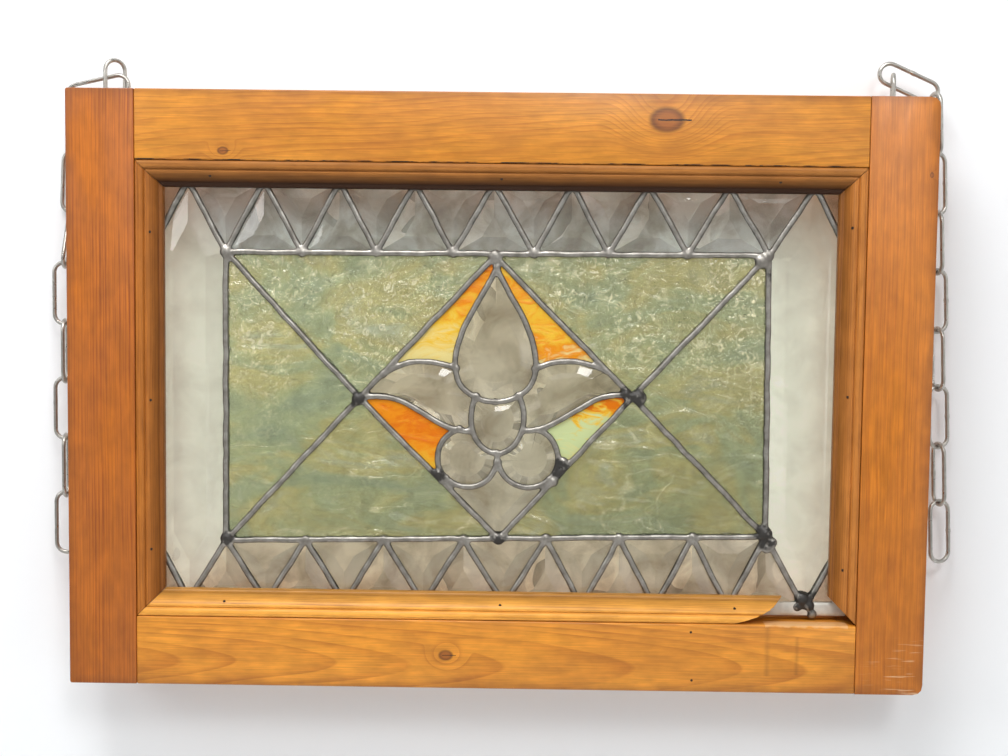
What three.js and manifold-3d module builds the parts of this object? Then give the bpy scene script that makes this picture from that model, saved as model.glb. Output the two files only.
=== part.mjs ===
// A small framed window of leaded glass: a pine frame with mitred glazing beads, a soldered lead
// lattice with green and amber panes and clear bevelled pieces, and a loose hanging chain on
// each side. Millimetres, +Z up, front at -Y. The origin is the middle of the frame's top edge.

import * as THREE from 'three';
import * as BufferGeometryUtils from 'three/addons/utils/BufferGeometryUtils.js';
import Module from 'manifold-3d';

const wasm = await Module();
wasm.setup();

// ---- driving dimensions ----

// Between pieces that touch.
const GAP = 0.3;

// The pine frame. The lip behind the glass is what is left of each board behind its rebate.
const FRAME = { width: 508, height: 352, thick: 28, stile: 40, rail: 41, lip: 8, lipThick: 9 };
const CORNER_RADIUS = { left: 1.5, right: 6 };

// The glazing beads, from the outer edge to the glass.
const BEAD = { width: 15, depth: 12.4 };
const MITRE_GAP = 1.7 * GAP;

// Where the bottom bead has split away: its end runs from the inner edge back to the outer edge.
const BREAK = { innerX: 172, outerX: 142, hollow: 5, steps: 5 };

// The leaded panel: the field is measured between the middles of the edge cames.
const FIELD = { halfWidth: 206, top: -52, bottom: -304 };
const LEAD = { front: -1.3, back: 4.7, flange: 1.3, grip: 0.5, halfWidth: 1.7, webHalf: 0.5 };
const EDGE_HALF = 4;
const SOLDER_RADIUS = 3.6;
const JOINT_FILL = 0.25;
const SMALLEST_CELL = 8;

// Glass: flat panes fill the channel, and bevelled pieces stand proud of it at the front.
const GLASS = { front: 0.3, back: 3.1, bevelFront: -1.7, curvedFront: 0.1, bevelEdge: 1 };
const BEVEL = { triangle: 9, strip: 11 };
const CURVED_BEVEL_KEEP = 0.6;

// Hanging chain: outer sizes of a link, its wire, and how far links sink into each other.
const LINK = { length: 40.4, width: 15, wire: 2.6, bite: 0.15, sides: 6, bendSteps: 3 };
const EYE = { radius: 5.3, wire: 2.4, shank: 12, hole: 1.7, sides: 8, steps: 12 };
const CHAIN_Y = 26;

// ---- materials ----

function material(color, roughness, metalness = 0, opacity = 1) {
  const transparent = opacity < 1;
  return new THREE.MeshStandardMaterial({ color, roughness, metalness, opacity, transparent });
}

const MATERIALS = {
  stileLeft: material(0xba6d2e, 0.42),
  stileRight: material(0xc1793a, 0.42),
  railTop: material(0xdd9144, 0.4),
  railBottom: material(0xd5822f, 0.4),
  beadDark: material(0x744320, 0.45),
  beadLight: material(0xdb9b5d, 0.45),
  lead: material(0x6a6058, 0.38, 0.9),
  green: material(0x9aa27c, 0.2, 0, 0.85),
  amber: material(0xe89a2e, 0.2),
  clear: material(0xe6eae4, 0.05, 0, 0.3),
  zinc: material(0xb0aca4, 0.35, 1),
};

// ---- solids ----

const group = new THREE.Group();

function solidOf(geometry) {
  const bare = geometry.clone();
  bare.deleteAttribute('normal');
  bare.deleteAttribute('uv');
  const merged = BufferGeometryUtils.mergeVertices(bare, 1e-5);
  const mesh = new wasm.Mesh({
    numProp: 3,
    vertProperties: new Float32Array(merged.attributes.position.array),
    triVerts: new Uint32Array(merged.index.array),
  });
  return new wasm.Manifold(mesh);
}

function geometryOf(solid) {
  const mesh = solid.getMesh();
  const geometry = new THREE.BufferGeometry();
  geometry.setAttribute('position', new THREE.BufferAttribute(new Float32Array(mesh.vertProperties), 3));
  geometry.setIndex(new THREE.BufferAttribute(new Uint32Array(mesh.triVerts), 1));
  geometry.computeVertexNormals();
  return geometry;
}

function join(solids) {
  return solids.reduce((sum, solid) => sum.add(solid));
}

function addPiece(name, geometry, look) {
  const mesh = new THREE.Mesh(geometry, look);
  mesh.name = name;
  group.add(mesh);
  return mesh;
}

// A block between two corners.
function block(x0, x1, y0, y1, z0, z1) {
  const geometry = new THREE.BoxGeometry(x1 - x0, y1 - y0, z1 - z0);
  geometry.translate((x0 + x1) / 2, (y0 + y1) / 2, (z0 + z1) / 2);
  return solidOf(geometry);
}

// A flat shape drawn in X and Z, made solid from y0 (front) to y1 (back).
function plate(shape, y0, y1, curveSegments = 5) {
  const depth = y1 - y0;
  const geometry = new THREE.ExtrudeGeometry(shape, { depth, bevelEnabled: false, curveSegments });
  geometry.rotateX(Math.PI / 2);
  geometry.translate(0, y1, 0);
  return solidOf(geometry);
}

// A closed skin through rings of points with flat ends. The rings are given front to back, and
// each runs anticlockwise seen from the front.
function loft(rings, flatEnd) {
  const count = rings[0].length;
  const positions = rings.flat().flatMap((point) => point.toArray());
  const index = [];
  for (let ring = 0; ring + 1 < rings.length; ring += 1) {
    for (let i = 0; i < count; i += 1) {
      const a = ring * count + i;
      const b = ring * count + ((i + 1) % count);
      index.push(a, a + count, b + count, a, b + count, b);
    }
  }
  const back = (rings.length - 1) * count;
  for (const [a, b, c] of THREE.ShapeUtils.triangulateShape(flatEnd, [])) {
    index.push(a, b, c, back + a, back + c, back + b);
  }
  const geometry = new THREE.BufferGeometry();
  geometry.setAttribute('position', new THREE.BufferAttribute(new Float32Array(positions), 3));
  geometry.setIndex(index);
  return geometry;
}

// ---- frame boards ----

const HALF = { x: FRAME.width / 2, y: FRAME.thick / 2 };
const OPENING = { x: HALF.x - FRAME.stile, top: -FRAME.rail, bottom: FRAME.rail - FRAME.height };
const REBATE_Y = HALF.y - FRAME.lipThick;
const EYE_X = { left: -234.7, right: 234.6 };

// A stile's outline, with its two outer corners rounded.
function stileOutline(side, radius) {
  const outer = side * HALF.x;
  const inner = side * OPENING.x;
  const shape = new THREE.Shape();
  shape.moveTo(inner, 0);
  shape.lineTo(outer - side * radius, 0);
  shape.quadraticCurveTo(outer, 0, outer, -radius);
  shape.lineTo(outer, radius - FRAME.height);
  shape.quadraticCurveTo(outer, -FRAME.height, outer - side * radius, -FRAME.height);
  shape.lineTo(inner, -FRAME.height);
  shape.closePath();
  return shape;
}

// A stile is full height, with a lip behind the glass and a hole for its screw eye.
function stile(name, side, radius, eyeX, look) {
  const board = plate(stileOutline(side, radius), -HALF.y, HALF.y, 3);
  const inner = side * (OPENING.x + FRAME.lip);
  const edge = side * (OPENING.x - FRAME.lip);
  const lip = block(Math.min(inner, edge), Math.max(inner, edge), REBATE_Y, HALF.y, -FRAME.height, 0);
  const bore = new THREE.CylinderGeometry(EYE.hole, EYE.hole, 2 * EYE.shank, EYE.sides);
  bore.translate(eyeX, HALF.y, eyeHeight(side));
  const cut = board.add(lip).subtract(solidOf(bore));
  addPiece(name, geometryOf(cut), look);
}

// A rail butts between the stiles, notched at its ends to clear their lips.
function rail(name, outerZ, innerZ, look) {
  const inward = Math.sign(innerZ - outerZ);
  const front = OPENING.x - GAP / 2;
  const behind = OPENING.x - FRAME.lip - GAP / 2;
  const low = Math.min(outerZ, innerZ);
  const high = Math.max(outerZ, innerZ);
  const core = block(-behind, behind, -HALF.y, HALF.y, low, high);
  const face = block(-front, front, -HALF.y, REBATE_Y, low, high);
  const lipEnds = [innerZ - inward * FRAME.lip, innerZ + inward * FRAME.lip].sort((a, b) => a - b);
  const lip = block(-behind, behind, REBATE_Y, HALF.y, lipEnds[0], lipEnds[1]);
  addPiece(name, geometryOf(join([core, face, lip])), look);
}

// ---- glazing beads ----

// The bead's section as [distance in from the outer edge, depth behind the frame's face]: a roll,
// a quirk, a long hollow, a fillet and a rounded arris at the glass.
function beadSection() {
  const points = [[0, 0.6], [1.2, 0], [3.6, 0], [4.8, 0.8], [5.2, 1.8], [6, 1.2]];
  const hollowSteps = 4;
  for (let i = 1; i <= hollowSteps; i += 1) {
    const t = i / hollowSteps;
    points.push([6 + 6.6 * t, 1.2 + 6.6 * (1 - Math.cos((t * Math.PI) / 2)) ** 0.9]);
  }
  points.push([14.2, 8.2], [BEAD.width, 9.4], [BEAD.width, BEAD.depth], [0, BEAD.depth]);
  return points;
}

// One mitred bead along local X, its outer edge towards local +Z, about the opening's middle.
function bead(halfLength, reach) {
  const section = beadSection();
  const ring = (end) => section.map(([inward, depth]) => new THREE.Vector3(
    end * (halfLength - inward - MITRE_GAP), depth - HALF.y, reach - inward - GAP));
  const flat = section.map(([inward, depth]) => new THREE.Vector2(depth, -inward));
  return solidOf(loft([ring(1), ring(-1)], flat));
}

// What the split took away from the bottom bead, in the bead's own frame.
function brokenEnd(reach) {
  const shape = new THREE.Shape();
  const outer = reach + 5;
  const inner = reach - BEAD.width - 1;
  shape.moveTo(-BREAK.outerX, outer);
  for (let i = 0; i <= BREAK.steps; i += 1) {
    const t = i / BREAK.steps;
    const bow = BREAK.hollow * Math.sin(t * Math.PI);
    const x = BREAK.outerX + (BREAK.innerX - BREAK.outerX) * t + bow;
    shape.lineTo(-x, reach - (reach - inner) * t ** 1.3);
  }
  shape.lineTo(-HALF.x, inner);
  shape.lineTo(-HALF.x, outer);
  shape.closePath();
  return plate(shape, -HALF.y - 1, HALF.y);
}

function addBeads() {
  const middle = (OPENING.top + OPENING.bottom) / 2;
  const reach = (OPENING.top - OPENING.bottom) / 2;
  const across = bead(OPENING.x, reach);
  const upright = bead(reach, OPENING.x);
  const sides = [
    ['bead_top', across, 0, MATERIALS.beadDark],
    ['bead_right', upright, Math.PI / 2, MATERIALS.beadLight],
    ['bead_bottom', across.subtract(brokenEnd(reach)), Math.PI, MATERIALS.beadLight],
    ['bead_left', upright, -Math.PI / 2, MATERIALS.beadDark],
  ];
  for (const [name, solid, turn, look] of sides) {
    const mesh = addPiece(name, geometryOf(solid), look);
    mesh.rotation.y = turn;
    mesh.position.z = middle;
  }
}

// ---- the lead lattice ----

const at = (x, z) => new THREE.Vector2(x, z);

// The joints of the lattice: the green field's corners and the diamond's corners.
const JOINT = {
  topLeft: at(-163, -94),
  topRight: at(159, -92.5),
  bottomLeft: at(-163, -267),
  bottomRight: at(161, -260.5),
  diamondTop: at(-3, -94.5),
  diamondLeft: at(-83, -180),
  diamondRight: at(80, -177.5),
  diamondBottom: at(1, -264),
};

// The triangles' points along the upper and lower cames, between the field's corners.
const UPPER_POINTS = [-117.5, -73.5, -28, 20, 64, 111];
const LOWER_POINTS = [-115, -68, -20, 29.5, 73.5, 117.5];

// The side strips' pointed ends, and where their slants reach the edge came.
const STRIP = { tipX: 185.5, shoulder: 39 };

// The flower's curves: petal widths and centres within the diamond.
const PETAL = { x: -2, top: -101, bottom: -181.5, halfWidth: 24.2, taper: 1.5, tipOverlap: 3, steps: 8 };
const OVAL = { x: -0.5, z: -191, halfWidth: 16, halfHeight: 21.2, steps: 9 };
const ROUND = { x: 18.2, z: -215, radius: 17.9, steps: 8 };
const LEAF_STEPS = 5;

function along(from, to, x) {
  return at(x, from.y + ((to.y - from.y) * (x - from.x)) / (to.x - from.x));
}

// The border's zigzag between a came and the panel's edge, one straight lead at a time.
function zigzag(leftTip, leftJoint, rightJoint, rightTip, points, edgeZ) {
  const inner = [leftJoint, ...points.map((x) => along(leftJoint, rightJoint, x)), rightJoint];
  const line = [leftTip];
  inner.forEach((joint, i) => {
    line.push(joint);
    const next = inner[i + 1];
    line.push(next ? at((joint.x + next.x) / 2, edgeZ) : rightTip);
  });
  return line.slice(1).map((point, i) => [line[i], point]);
}

// One side of the upper petal, pointed at the top and round at the bottom.
function petalSide(side) {
  const peak = Math.sqrt((PETAL.taper + 1) / (PETAL.taper + 2));
  const widest = peak ** (PETAL.taper + 1) * Math.sqrt(1 - peak ** 2);
  const points = [];
  for (let i = 0; i <= PETAL.steps; i += 1) {
    const turn = (Math.PI * i) / (2 * PETAL.steps);
    const reach = (Math.sin(turn) ** (PETAL.taper + 1) * Math.cos(turn)) / widest;
    const z = PETAL.top + (PETAL.bottom - PETAL.top) * Math.sin(turn) ** 2;
    points.push(at(PETAL.x + side * PETAL.halfWidth * reach, z));
  }
  return points;
}

// Points on an ellipse between two angles, in degrees anticlockwise from +X.
function arc(x, z, halfWidth, halfHeight, from, to, steps) {
  const points = [];
  for (let i = 0; i <= steps; i += 1) {
    const angle = THREE.MathUtils.degToRad(from + ((to - from) * i) / steps);
    points.push(at(x + halfWidth * Math.cos(angle), z + halfHeight * Math.sin(angle)));
  }
  return points;
}

function leafTop(tip, crest, end) {
  return new THREE.QuadraticBezierCurve(tip, crest, end).getPoints(LEAF_STEPS);
}

function leafBottom(tip, lift, dip, end) {
  return new THREE.CubicBezierCurve(tip, lift, dip, end).getPoints(LEAF_STEPS);
}

function flowerLines() {
  return [
    petalSide(-1),
    petalSide(1),
    [at(PETAL.x, PETAL.top - PETAL.tipOverlap), JOINT.diamondTop],
    leafTop(at(-69, -165.6), at(-50, -152.5), at(-25.2, -161.5)),
    leafTop(at(63.8, -162), at(42, -151.5), at(21.2, -161.5)),
    leafBottom(JOINT.diamondLeft, at(-52, -173), at(-42, -199.5), at(-15.7, -199.2)),
    leafBottom(JOINT.diamondRight, at(52, -171), at(42, -198.5), at(14.7, -198.5)),
    arc(OVAL.x, OVAL.z, OVAL.halfWidth, OVAL.halfHeight, 143, 400, OVAL.steps),
    arc(-ROUND.x, ROUND.z, ROUND.radius, ROUND.radius, 106, 352, ROUND.steps),
    arc(ROUND.x, ROUND.z, ROUND.radius, ROUND.radius, 74, -172, ROUND.steps),
    [at(OVAL.x, OVAL.z - OVAL.halfHeight), at(0, -219)],
    [at(-30.9, -227.7), along(JOINT.diamondLeft, JOINT.diamondBottom, -33.4)],
    [at(30.9, -227.7), along(JOINT.diamondRight, JOINT.diamondBottom, 33)],
  ];
}

function latticeLines() {
  const { topLeft, topRight, bottomLeft, bottomRight } = JOINT;
  const { diamondTop, diamondLeft, diamondRight, diamondBottom } = JOINT;
  const straight = [
    [topLeft, topRight], [bottomLeft, bottomRight], [topLeft, bottomLeft], [topRight, bottomRight],
    [topLeft, diamondLeft], [bottomLeft, diamondLeft], [topRight, diamondRight],
    [bottomRight, diamondRight], [diamondTop, diamondLeft], [diamondTop, diamondRight],
    [diamondBottom, diamondLeft], [diamondBottom, diamondRight],
  ];
  const corners = [];
  for (const side of [-1, 1]) {
    for (const [edge, inward] of [[FIELD.top, -1], [FIELD.bottom, 1]]) {
      const foot = at(side * FIELD.halfWidth, edge + inward * STRIP.shoulder);
      corners.push([at(side * STRIP.tipX, edge), foot]);
    }
  }
  const tip = (side, edge) => at(side * STRIP.tipX, edge);
  return [
    ...straight,
    ...corners,
    ...zigzag(tip(-1, FIELD.top), topLeft, topRight, tip(1, FIELD.top), UPPER_POINTS, FIELD.top),
    ...zigzag(tip(-1, FIELD.bottom), bottomLeft, bottomRight, tip(1, FIELD.bottom), LOWER_POINTS,
      FIELD.bottom),
    ...flowerLines(),
  ];
}

// The points of a line moved sideways, with mitred bends.
function offset(points, distance, closed) {
  const count = points.length;
  return points.map((point, i) => {
    const before = closed || i > 0 ? points[(i - 1 + count) % count] : null;
    const after = closed || i < count - 1 ? points[(i + 1) % count] : null;
    const leaving = after ? after.clone().sub(point).normalize() : point.clone().sub(before).normalize();
    const arriving = before ? point.clone().sub(before).normalize() : leaving;
    const side = at(-arriving.y - leaving.y, arriving.x + leaving.x).normalize();
    const mitre = side.y * arriving.x - side.x * arriving.y;
    return point.clone().addScaledVector(side, distance / mitre);
  });
}

// A lead line as a flat strip, run on a little past both ends so that joints fill.
function strip(points, half) {
  const line = points.map((point) => point.clone());
  const last = line.length - 1;
  const runOn = half * JOINT_FILL;
  line[0].addScaledVector(points[0].clone().sub(points[1]).normalize(), runOn);
  line[last].addScaledVector(points[last].clone().sub(points[last - 1]).normalize(), runOn);
  return new THREE.Shape([...offset(line, -half, false), ...offset(line, half, false).reverse()]);
}

// The field's rectangle, grown or shrunk by a margin.
function fieldRectangle(grow) {
  const x = FIELD.halfWidth + grow;
  const low = FIELD.bottom - grow;
  const high = FIELD.top + grow;
  return [at(-x, low), at(x, low), at(x, high), at(-x, high)];
}

// The outlines that are left of the field when every lead line takes its half width.
function cellOutlines(half, edgeHalf) {
  const sheet = plate(new THREE.Shape(fieldRectangle(-edgeHalf)), 0, 1);
  const lines = latticeLines().map((line) => plate(strip(line, half), -1, 2));
  const outlines = sheet.subtract(join(lines)).decompose().map(outlineOf);
  const isPane = (outline) => outline.length > 2 && THREE.ShapeUtils.area(outline) > SMALLEST_CELL;
  return outlines.filter(isPane);
}

// One layer of the lattice: a sheet the size of the panel with a hole for every pane.
function latticeLayer(half, edgeHalf, y0, y1) {
  const sheet = plate(new THREE.Shape(fieldRectangle(EDGE_HALF)), y0, y1);
  const prism = (outline) => plate(new THREE.Shape(outline), y0 - 1, y1 + 1);
  return sheet.subtract(join(cellOutlines(half, edgeHalf).map(prism)));
}

function solderJoints() {
  return Object.values(JOINT).map((joint) => {
    const disc = new THREE.CylinderGeometry(SOLDER_RADIUS, SOLDER_RADIUS, LEAD.flange, 8);
    disc.translate(joint.x, LEAD.front + LEAD.flange / 2, joint.y);
    return solidOf(disc);
  });
}

// An H section: a front flange, a back flange and the web between the panes.
function addLead() {
  const front = latticeLayer(LEAD.halfWidth, EDGE_HALF, LEAD.front, LEAD.front + LEAD.flange);
  const web = latticeLayer(LEAD.webHalf, LEAD.webHalf, LEAD.front + LEAD.grip, LEAD.back - LEAD.grip);
  const back = latticeLayer(LEAD.halfWidth, EDGE_HALF, LEAD.back - LEAD.flange, LEAD.back);
  addPiece('lead_lattice', geometryOf(join([front, ...solderJoints(), web, back])), MATERIALS.lead);
}

// ---- glass ----

// The outline of the front face, at Y 0, of a flat solid, anticlockwise seen from the front.
function outlineOf(solid) {
  const mesh = solid.getMesh();
  const place = (v) => new THREE.Vector3().fromArray(mesh.vertProperties, v * 3);
  const isFront = (v) => Math.abs(place(v).y) < 1e-3;
  const edges = new Map();
  for (let i = 0; i < mesh.triVerts.length; i += 3) {
    const triangle = [...mesh.triVerts.slice(i, i + 3)];
    if (triangle.every(isFront)) {
      triangle.forEach((v, k) => edges.set(`${v},${triangle[(k + 1) % 3]}`, [v, triangle[(k + 1) % 3]]));
    }
  }
  const next = new Map();
  for (const [a, b] of edges.values()) {
    if (!edges.has(`${b},${a}`)) next.set(a, b);
  }
  const start = next.keys().next().value;
  const loop = [];
  for (let v = start; loop.length === 0 || v !== start; v = next.get(v)) loop.push(v);
  return tidy(loop.map((v) => at(place(v).x, place(v).z)));
}

// Drops points that lie on a straight run or on top of the next one.
function tidy(points) {
  const spaced = points.filter((point, i) => point.distanceTo(points[(i + 1) % points.length]) > 0.3);
  return spaced.filter((point, i) => {
    const before = spaced[(i - 1 + spaced.length) % spaced.length];
    const after = spaced[(i + 1) % spaced.length];
    const chord = after.clone().sub(before).normalize();
    return Math.abs(point.clone().sub(before).cross(chord)) > 0.02;
  });
}

function holds(outline, x, z) {
  return outline.reduce((inside, a, i) => {
    const b = outline[(i + 1) % outline.length];
    const crosses = a.y > z !== b.y > z && x < ((b.x - a.x) * (z - a.y)) / (b.y - a.y) + a.x;
    return crosses ? !inside : inside;
  }, false);
}

const ringAt = (outline, y) => outline.map((point) => new THREE.Vector3(point.x, y, point.y));

// A flat pane, cut to the outline that the lead leaves.
function flatPane(outline) {
  return loft([ringAt(outline, GLASS.front), ringAt(outline, GLASS.back)], outline);
}

// A thick piece whose front face slopes down to a thin edge.
function bevelledPane(outline, flat, front) {
  const rings = [ringAt(flat, front), ringAt(outline, GLASS.bevelEdge), ringAt(outline, GLASS.back)];
  return loft(rings, outline);
}

function straightBevel(outline, width) {
  return bevelledPane(outline, offset(outline, width, true), GLASS.bevelFront);
}

function curvedBevel(outline, heart) {
  const flat = outline.map((point) => heart.clone().lerp(point, CURVED_BEVEL_KEEP));
  return bevelledPane(outline, flat, GLASS.curvedFront);
}

// Panes are cut to clear the lead's web, and each is found by a point inside it.
function cutPanes() {
  const kerf = LEAD.webHalf + GAP;
  const outlines = cellOutlines(kerf, kerf);
  return (x, z) => outlines.find((outline) => holds(outline, x, z));
}

// The middles of a border row's triangles, from left to right: one stands with its point on the
// came and its foot on the edge, and the next one the other way up.
function rowMiddles(left, right, points, edgeZ) {
  const xs = [left.x, ...points, right.x];
  const cameZ = (left.y + right.y) / 2;
  const third = (edgeZ - cameZ) / 3;
  const middles = [];
  xs.forEach((x, i) => {
    middles.push([x, edgeZ - third]);
    if (i + 1 < xs.length) middles.push([(x + xs[i + 1]) / 2, cameZ + third]);
  });
  return middles;
}

function addGlass() {
  const paneAt = cutPanes();
  const green = {
    left: [-130, -180],
    right: [130, -180],
    upper_left: [-80, -110],
    upper_right: [80, -110],
    lower_left: [-80, -250],
    lower_right: [80, -250],
  };
  for (const [name, [x, z]] of Object.entries(green)) {
    addPiece(`green_${name}`, flatPane(paneAt(x, z)), MATERIALS.green);
  }
  const amber = {
    upper_left: [-38, -148],
    upper_right: [32, -146],
    lower_left: [-50, -200],
    lower_right: [46, -200],
  };
  for (const [name, [x, z]] of Object.entries(amber)) {
    addPiece(`amber_${name}`, flatPane(paneAt(x, z)), MATERIALS.amber);
  }
  const flower = {
    petal_upper: at(-2, -152),
    leaf_left: at(-44, -175),
    leaf_right: at(41, -174),
    heart_oval: at(-0.5, -195),
    petal_round_left: at(-19, -215.5),
    petal_round_right: at(19, -215.5),
  };
  for (const [name, heart] of Object.entries(flower)) {
    addPiece(name, curvedBevel(paneAt(heart.x, heart.y), heart), MATERIALS.clear);
  }
  addPiece('bevel_lower', flatPane(paneAt(0, -242)), MATERIALS.clear);
  for (const [name, x] of [['strip_left', -185], ['strip_right', 185]]) {
    addPiece(name, straightBevel(paneAt(x, -176), BEVEL.strip), MATERIALS.clear);
  }
  const rows = [
    ['top', rowMiddles(JOINT.topLeft, JOINT.topRight, UPPER_POINTS, FIELD.top)],
    ['bottom', rowMiddles(JOINT.bottomLeft, JOINT.bottomRight, LOWER_POINTS, FIELD.bottom)],
  ];
  for (const [row, middles] of rows) {
    middles.forEach(([x, z], i) => {
      const name = `triangle_${row}_${String(i + 1).padStart(2, '0')}`;
      addPiece(name, straightBevel(paneAt(x, z), BEVEL.triangle), MATERIALS.clear);
    });
  }
}

// ---- chains ----

const PITCH = LINK.length - 2 * LINK.wire + LINK.bite;
const LINK_RADIUS = (LINK.width - LINK.wire) / 2;

// Each side's chain: the upright link that hangs on a hook, the link lying through it, and how
// many links hang from that down to a point. The last few are plumb, and those above them belly
// out behind where the drop is too short for their length. face and twist turn a link about its
// own length, in degrees.
const CHAINS = {
  left: {
    side: -1,
    upright: { x: EYE_X.left, z: 2, face: 37 },
    lying: { x: -245.5, z: 3, tilt: 13 },
    to: [-267, -279.4],
    hanging: 8,
    plumb: 5,
    twist: 4,
  },
  right: {
    side: 1,
    upright: { x: EYE_X.right, z: -2, face: 80 },
    lying: { x: 245, z: 12.6, tilt: -24 },
    to: [273, -277.9],
    hanging: 8,
    plumb: 0,
    twist: 16,
  },
};

function eyeHeight(side) {
  const chain = side < 0 ? CHAINS.left : CHAINS.right;
  return chain.upright.z - LINK.length / 2 + LINK.wire + EYE.wire / 2 - LINK.bite - EYE.radius;
}

// A round wire along a closed flat curve: a skin of rings that joins up with itself.
function closedWire(centres, outward, across, radius, sides) {
  const positions = [];
  centres.forEach((centre, i) => {
    for (let k = 0; k < sides; k += 1) {
      const angle = (2 * Math.PI * k) / sides;
      const point = centre.clone().addScaledVector(outward[i], radius * Math.cos(angle))
        .addScaledVector(across, radius * Math.sin(angle));
      positions.push(...point.toArray());
    }
  });
  const index = [];
  const count = centres.length;
  for (let i = 0; i < count; i += 1) {
    for (let k = 0; k < sides; k += 1) {
      const a = i * sides + k;
      const b = i * sides + ((k + 1) % sides);
      const c = ((i + 1) % count) * sides + k;
      const d = ((i + 1) % count) * sides + ((k + 1) % sides);
      index.push(a, c, b, b, c, d);
    }
  }
  const geometry = new THREE.BufferGeometry();
  geometry.setAttribute('position', new THREE.BufferAttribute(new Float32Array(positions), 3));
  geometry.setIndex(index);
  return geometry;
}

// A link in local X and Z, long in Z: two straight sides and two round bends.
function linkGeometry() {
  const straight = (LINK.length - LINK.width) / 2;
  const centres = [];
  const outward = [];
  for (const [from, z] of [[0, straight], [180, -straight]]) {
    for (let i = 0; i <= LINK.bendSteps; i += 1) {
      const angle = THREE.MathUtils.degToRad(from + (180 * i) / LINK.bendSteps);
      const out = new THREE.Vector3(Math.cos(angle), 0, Math.sin(angle));
      outward.push(out);
      centres.push(out.clone().multiplyScalar(LINK_RADIUS).add(new THREE.Vector3(0, 0, z)));
    }
  }
  return closedWire(centres, outward, new THREE.Vector3(0, -1, 0), LINK.wire / 2, LINK.sides);
}

// A link placed by its middle and the direction of its length, turned about that length.
function placedLink(middle, direction, turn) {
  const geometry = linkGeometry();
  geometry.rotateZ(THREE.MathUtils.degToRad(turn));
  const swing = new THREE.Quaternion();
  swing.setFromUnitVectors(new THREE.Vector3(0, 0, -1), direction.clone().normalize());
  geometry.applyQuaternion(swing);
  geometry.translate(middle.x, middle.y, middle.z);
  return solidOf(geometry);
}

// The screw eye in the stile's back that the upright link hangs in.
function screwEye(x, y, z) {
  const ring = new THREE.TorusGeometry(EYE.radius, EYE.wire / 2, LINK.sides, EYE.steps);
  ring.rotateY(Math.PI / 2);
  ring.translate(x, y, z);
  const reach = y - EYE.radius - HALF.y;
  const shank = new THREE.CylinderGeometry(EYE.wire / 2, EYE.wire / 2, EYE.shank - 1 + reach, EYE.sides);
  shank.translate(x, HALF.y + (reach - EYE.shank + 1) / 2, z);
  return solidOf(ring).add(solidOf(shank));
}

// The points where the hanging links meet, from the lying link's end down to the chain's end.
function hangingNodes(start, end, { hanging, plumb }) {
  if (plumb === 0) {
    return Array.from({ length: hanging + 1 }, (_, i) => start.clone().lerp(end, i / hanging));
  }
  const nodes = [start];
  const top = end.clone().add(new THREE.Vector3(0, 0, plumb * PITCH));
  const drop = start.distanceTo(top);
  const straight = (hanging - plumb - 2) * PITCH;
  const slant = (drop - straight) / 2;
  const belly = Math.sqrt(PITCH ** 2 - slant ** 2);
  for (let i = 1; i < hanging - plumb; i += 1) {
    const node = start.clone().lerp(top, (slant + (i - 1) * PITCH) / drop);
    node.y += belly;
    nodes.push(node);
  }
  for (let i = 0; i <= plumb; i += 1) nodes.push(top.clone().lerp(end, i / plumb));
  return nodes;
}

function addChain(name, chain) {
  const { upright, lying, side } = chain;
  const swing = THREE.MathUtils.degToRad(upright.face);
  const wireFlat = LINK.wire * Math.cos(Math.PI / LINK.sides);
  const uprightY = CHAIN_Y - LINK_RADIUS * Math.sin(swing) + wireFlat - LINK.bite;
  const down = new THREE.Vector3(0, 0, -1);
  const links = [placedLink(new THREE.Vector3(upright.x, uprightY, upright.z), down, upright.face)];
  const tilt = THREE.MathUtils.degToRad(lying.tilt);
  const outwards = new THREE.Vector3(side * Math.cos(tilt), 0, side * Math.sin(tilt));
  const lyingMiddle = new THREE.Vector3(lying.x, CHAIN_Y, lying.z);
  links.push(placedLink(lyingMiddle, outwards, 0));
  const start = lyingMiddle.clone().addScaledVector(outwards, PITCH / 2);
  const end = new THREE.Vector3(chain.to[0], CHAIN_Y, chain.to[1]);
  const nodes = hangingNodes(start, end, chain);
  nodes.slice(1).forEach((node, i) => {
    const middle = node.clone().lerp(nodes[i], 0.5);
    const turn = i % 2 ? chain.twist : 90 + chain.twist;
    links.push(placedLink(middle, node.clone().sub(nodes[i]), turn));
  });
  const eye = screwEye(upright.x, uprightY, eyeHeight(side));
  addPiece(name, geometryOf(join([eye, ...links])), MATERIALS.zinc);
}

// ---- the whole window ----

stile('stile_left', -1, CORNER_RADIUS.left, EYE_X.left, MATERIALS.stileLeft);
stile('stile_right', 1, CORNER_RADIUS.right, EYE_X.right, MATERIALS.stileRight);
rail('rail_top', 0, OPENING.top, MATERIALS.railTop);
rail('rail_bottom', -FRAME.height, OPENING.bottom, MATERIALS.railBottom);
addBeads();
addLead();
addGlass();
addChain('chain_left', CHAINS.left);
addChain('chain_right', CHAINS.right);

export default group;
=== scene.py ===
"""The looks of a small framed window of leaded glass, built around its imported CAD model."""

import math
import random
from collections import namedtuple

import bmesh
import bpy
from bpy.props import FloatProperty, FloatVectorProperty, IntProperty, PointerProperty
from mathutils import Matrix, Vector, noise
from mathutils.geometry import tessellate_polygon


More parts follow.
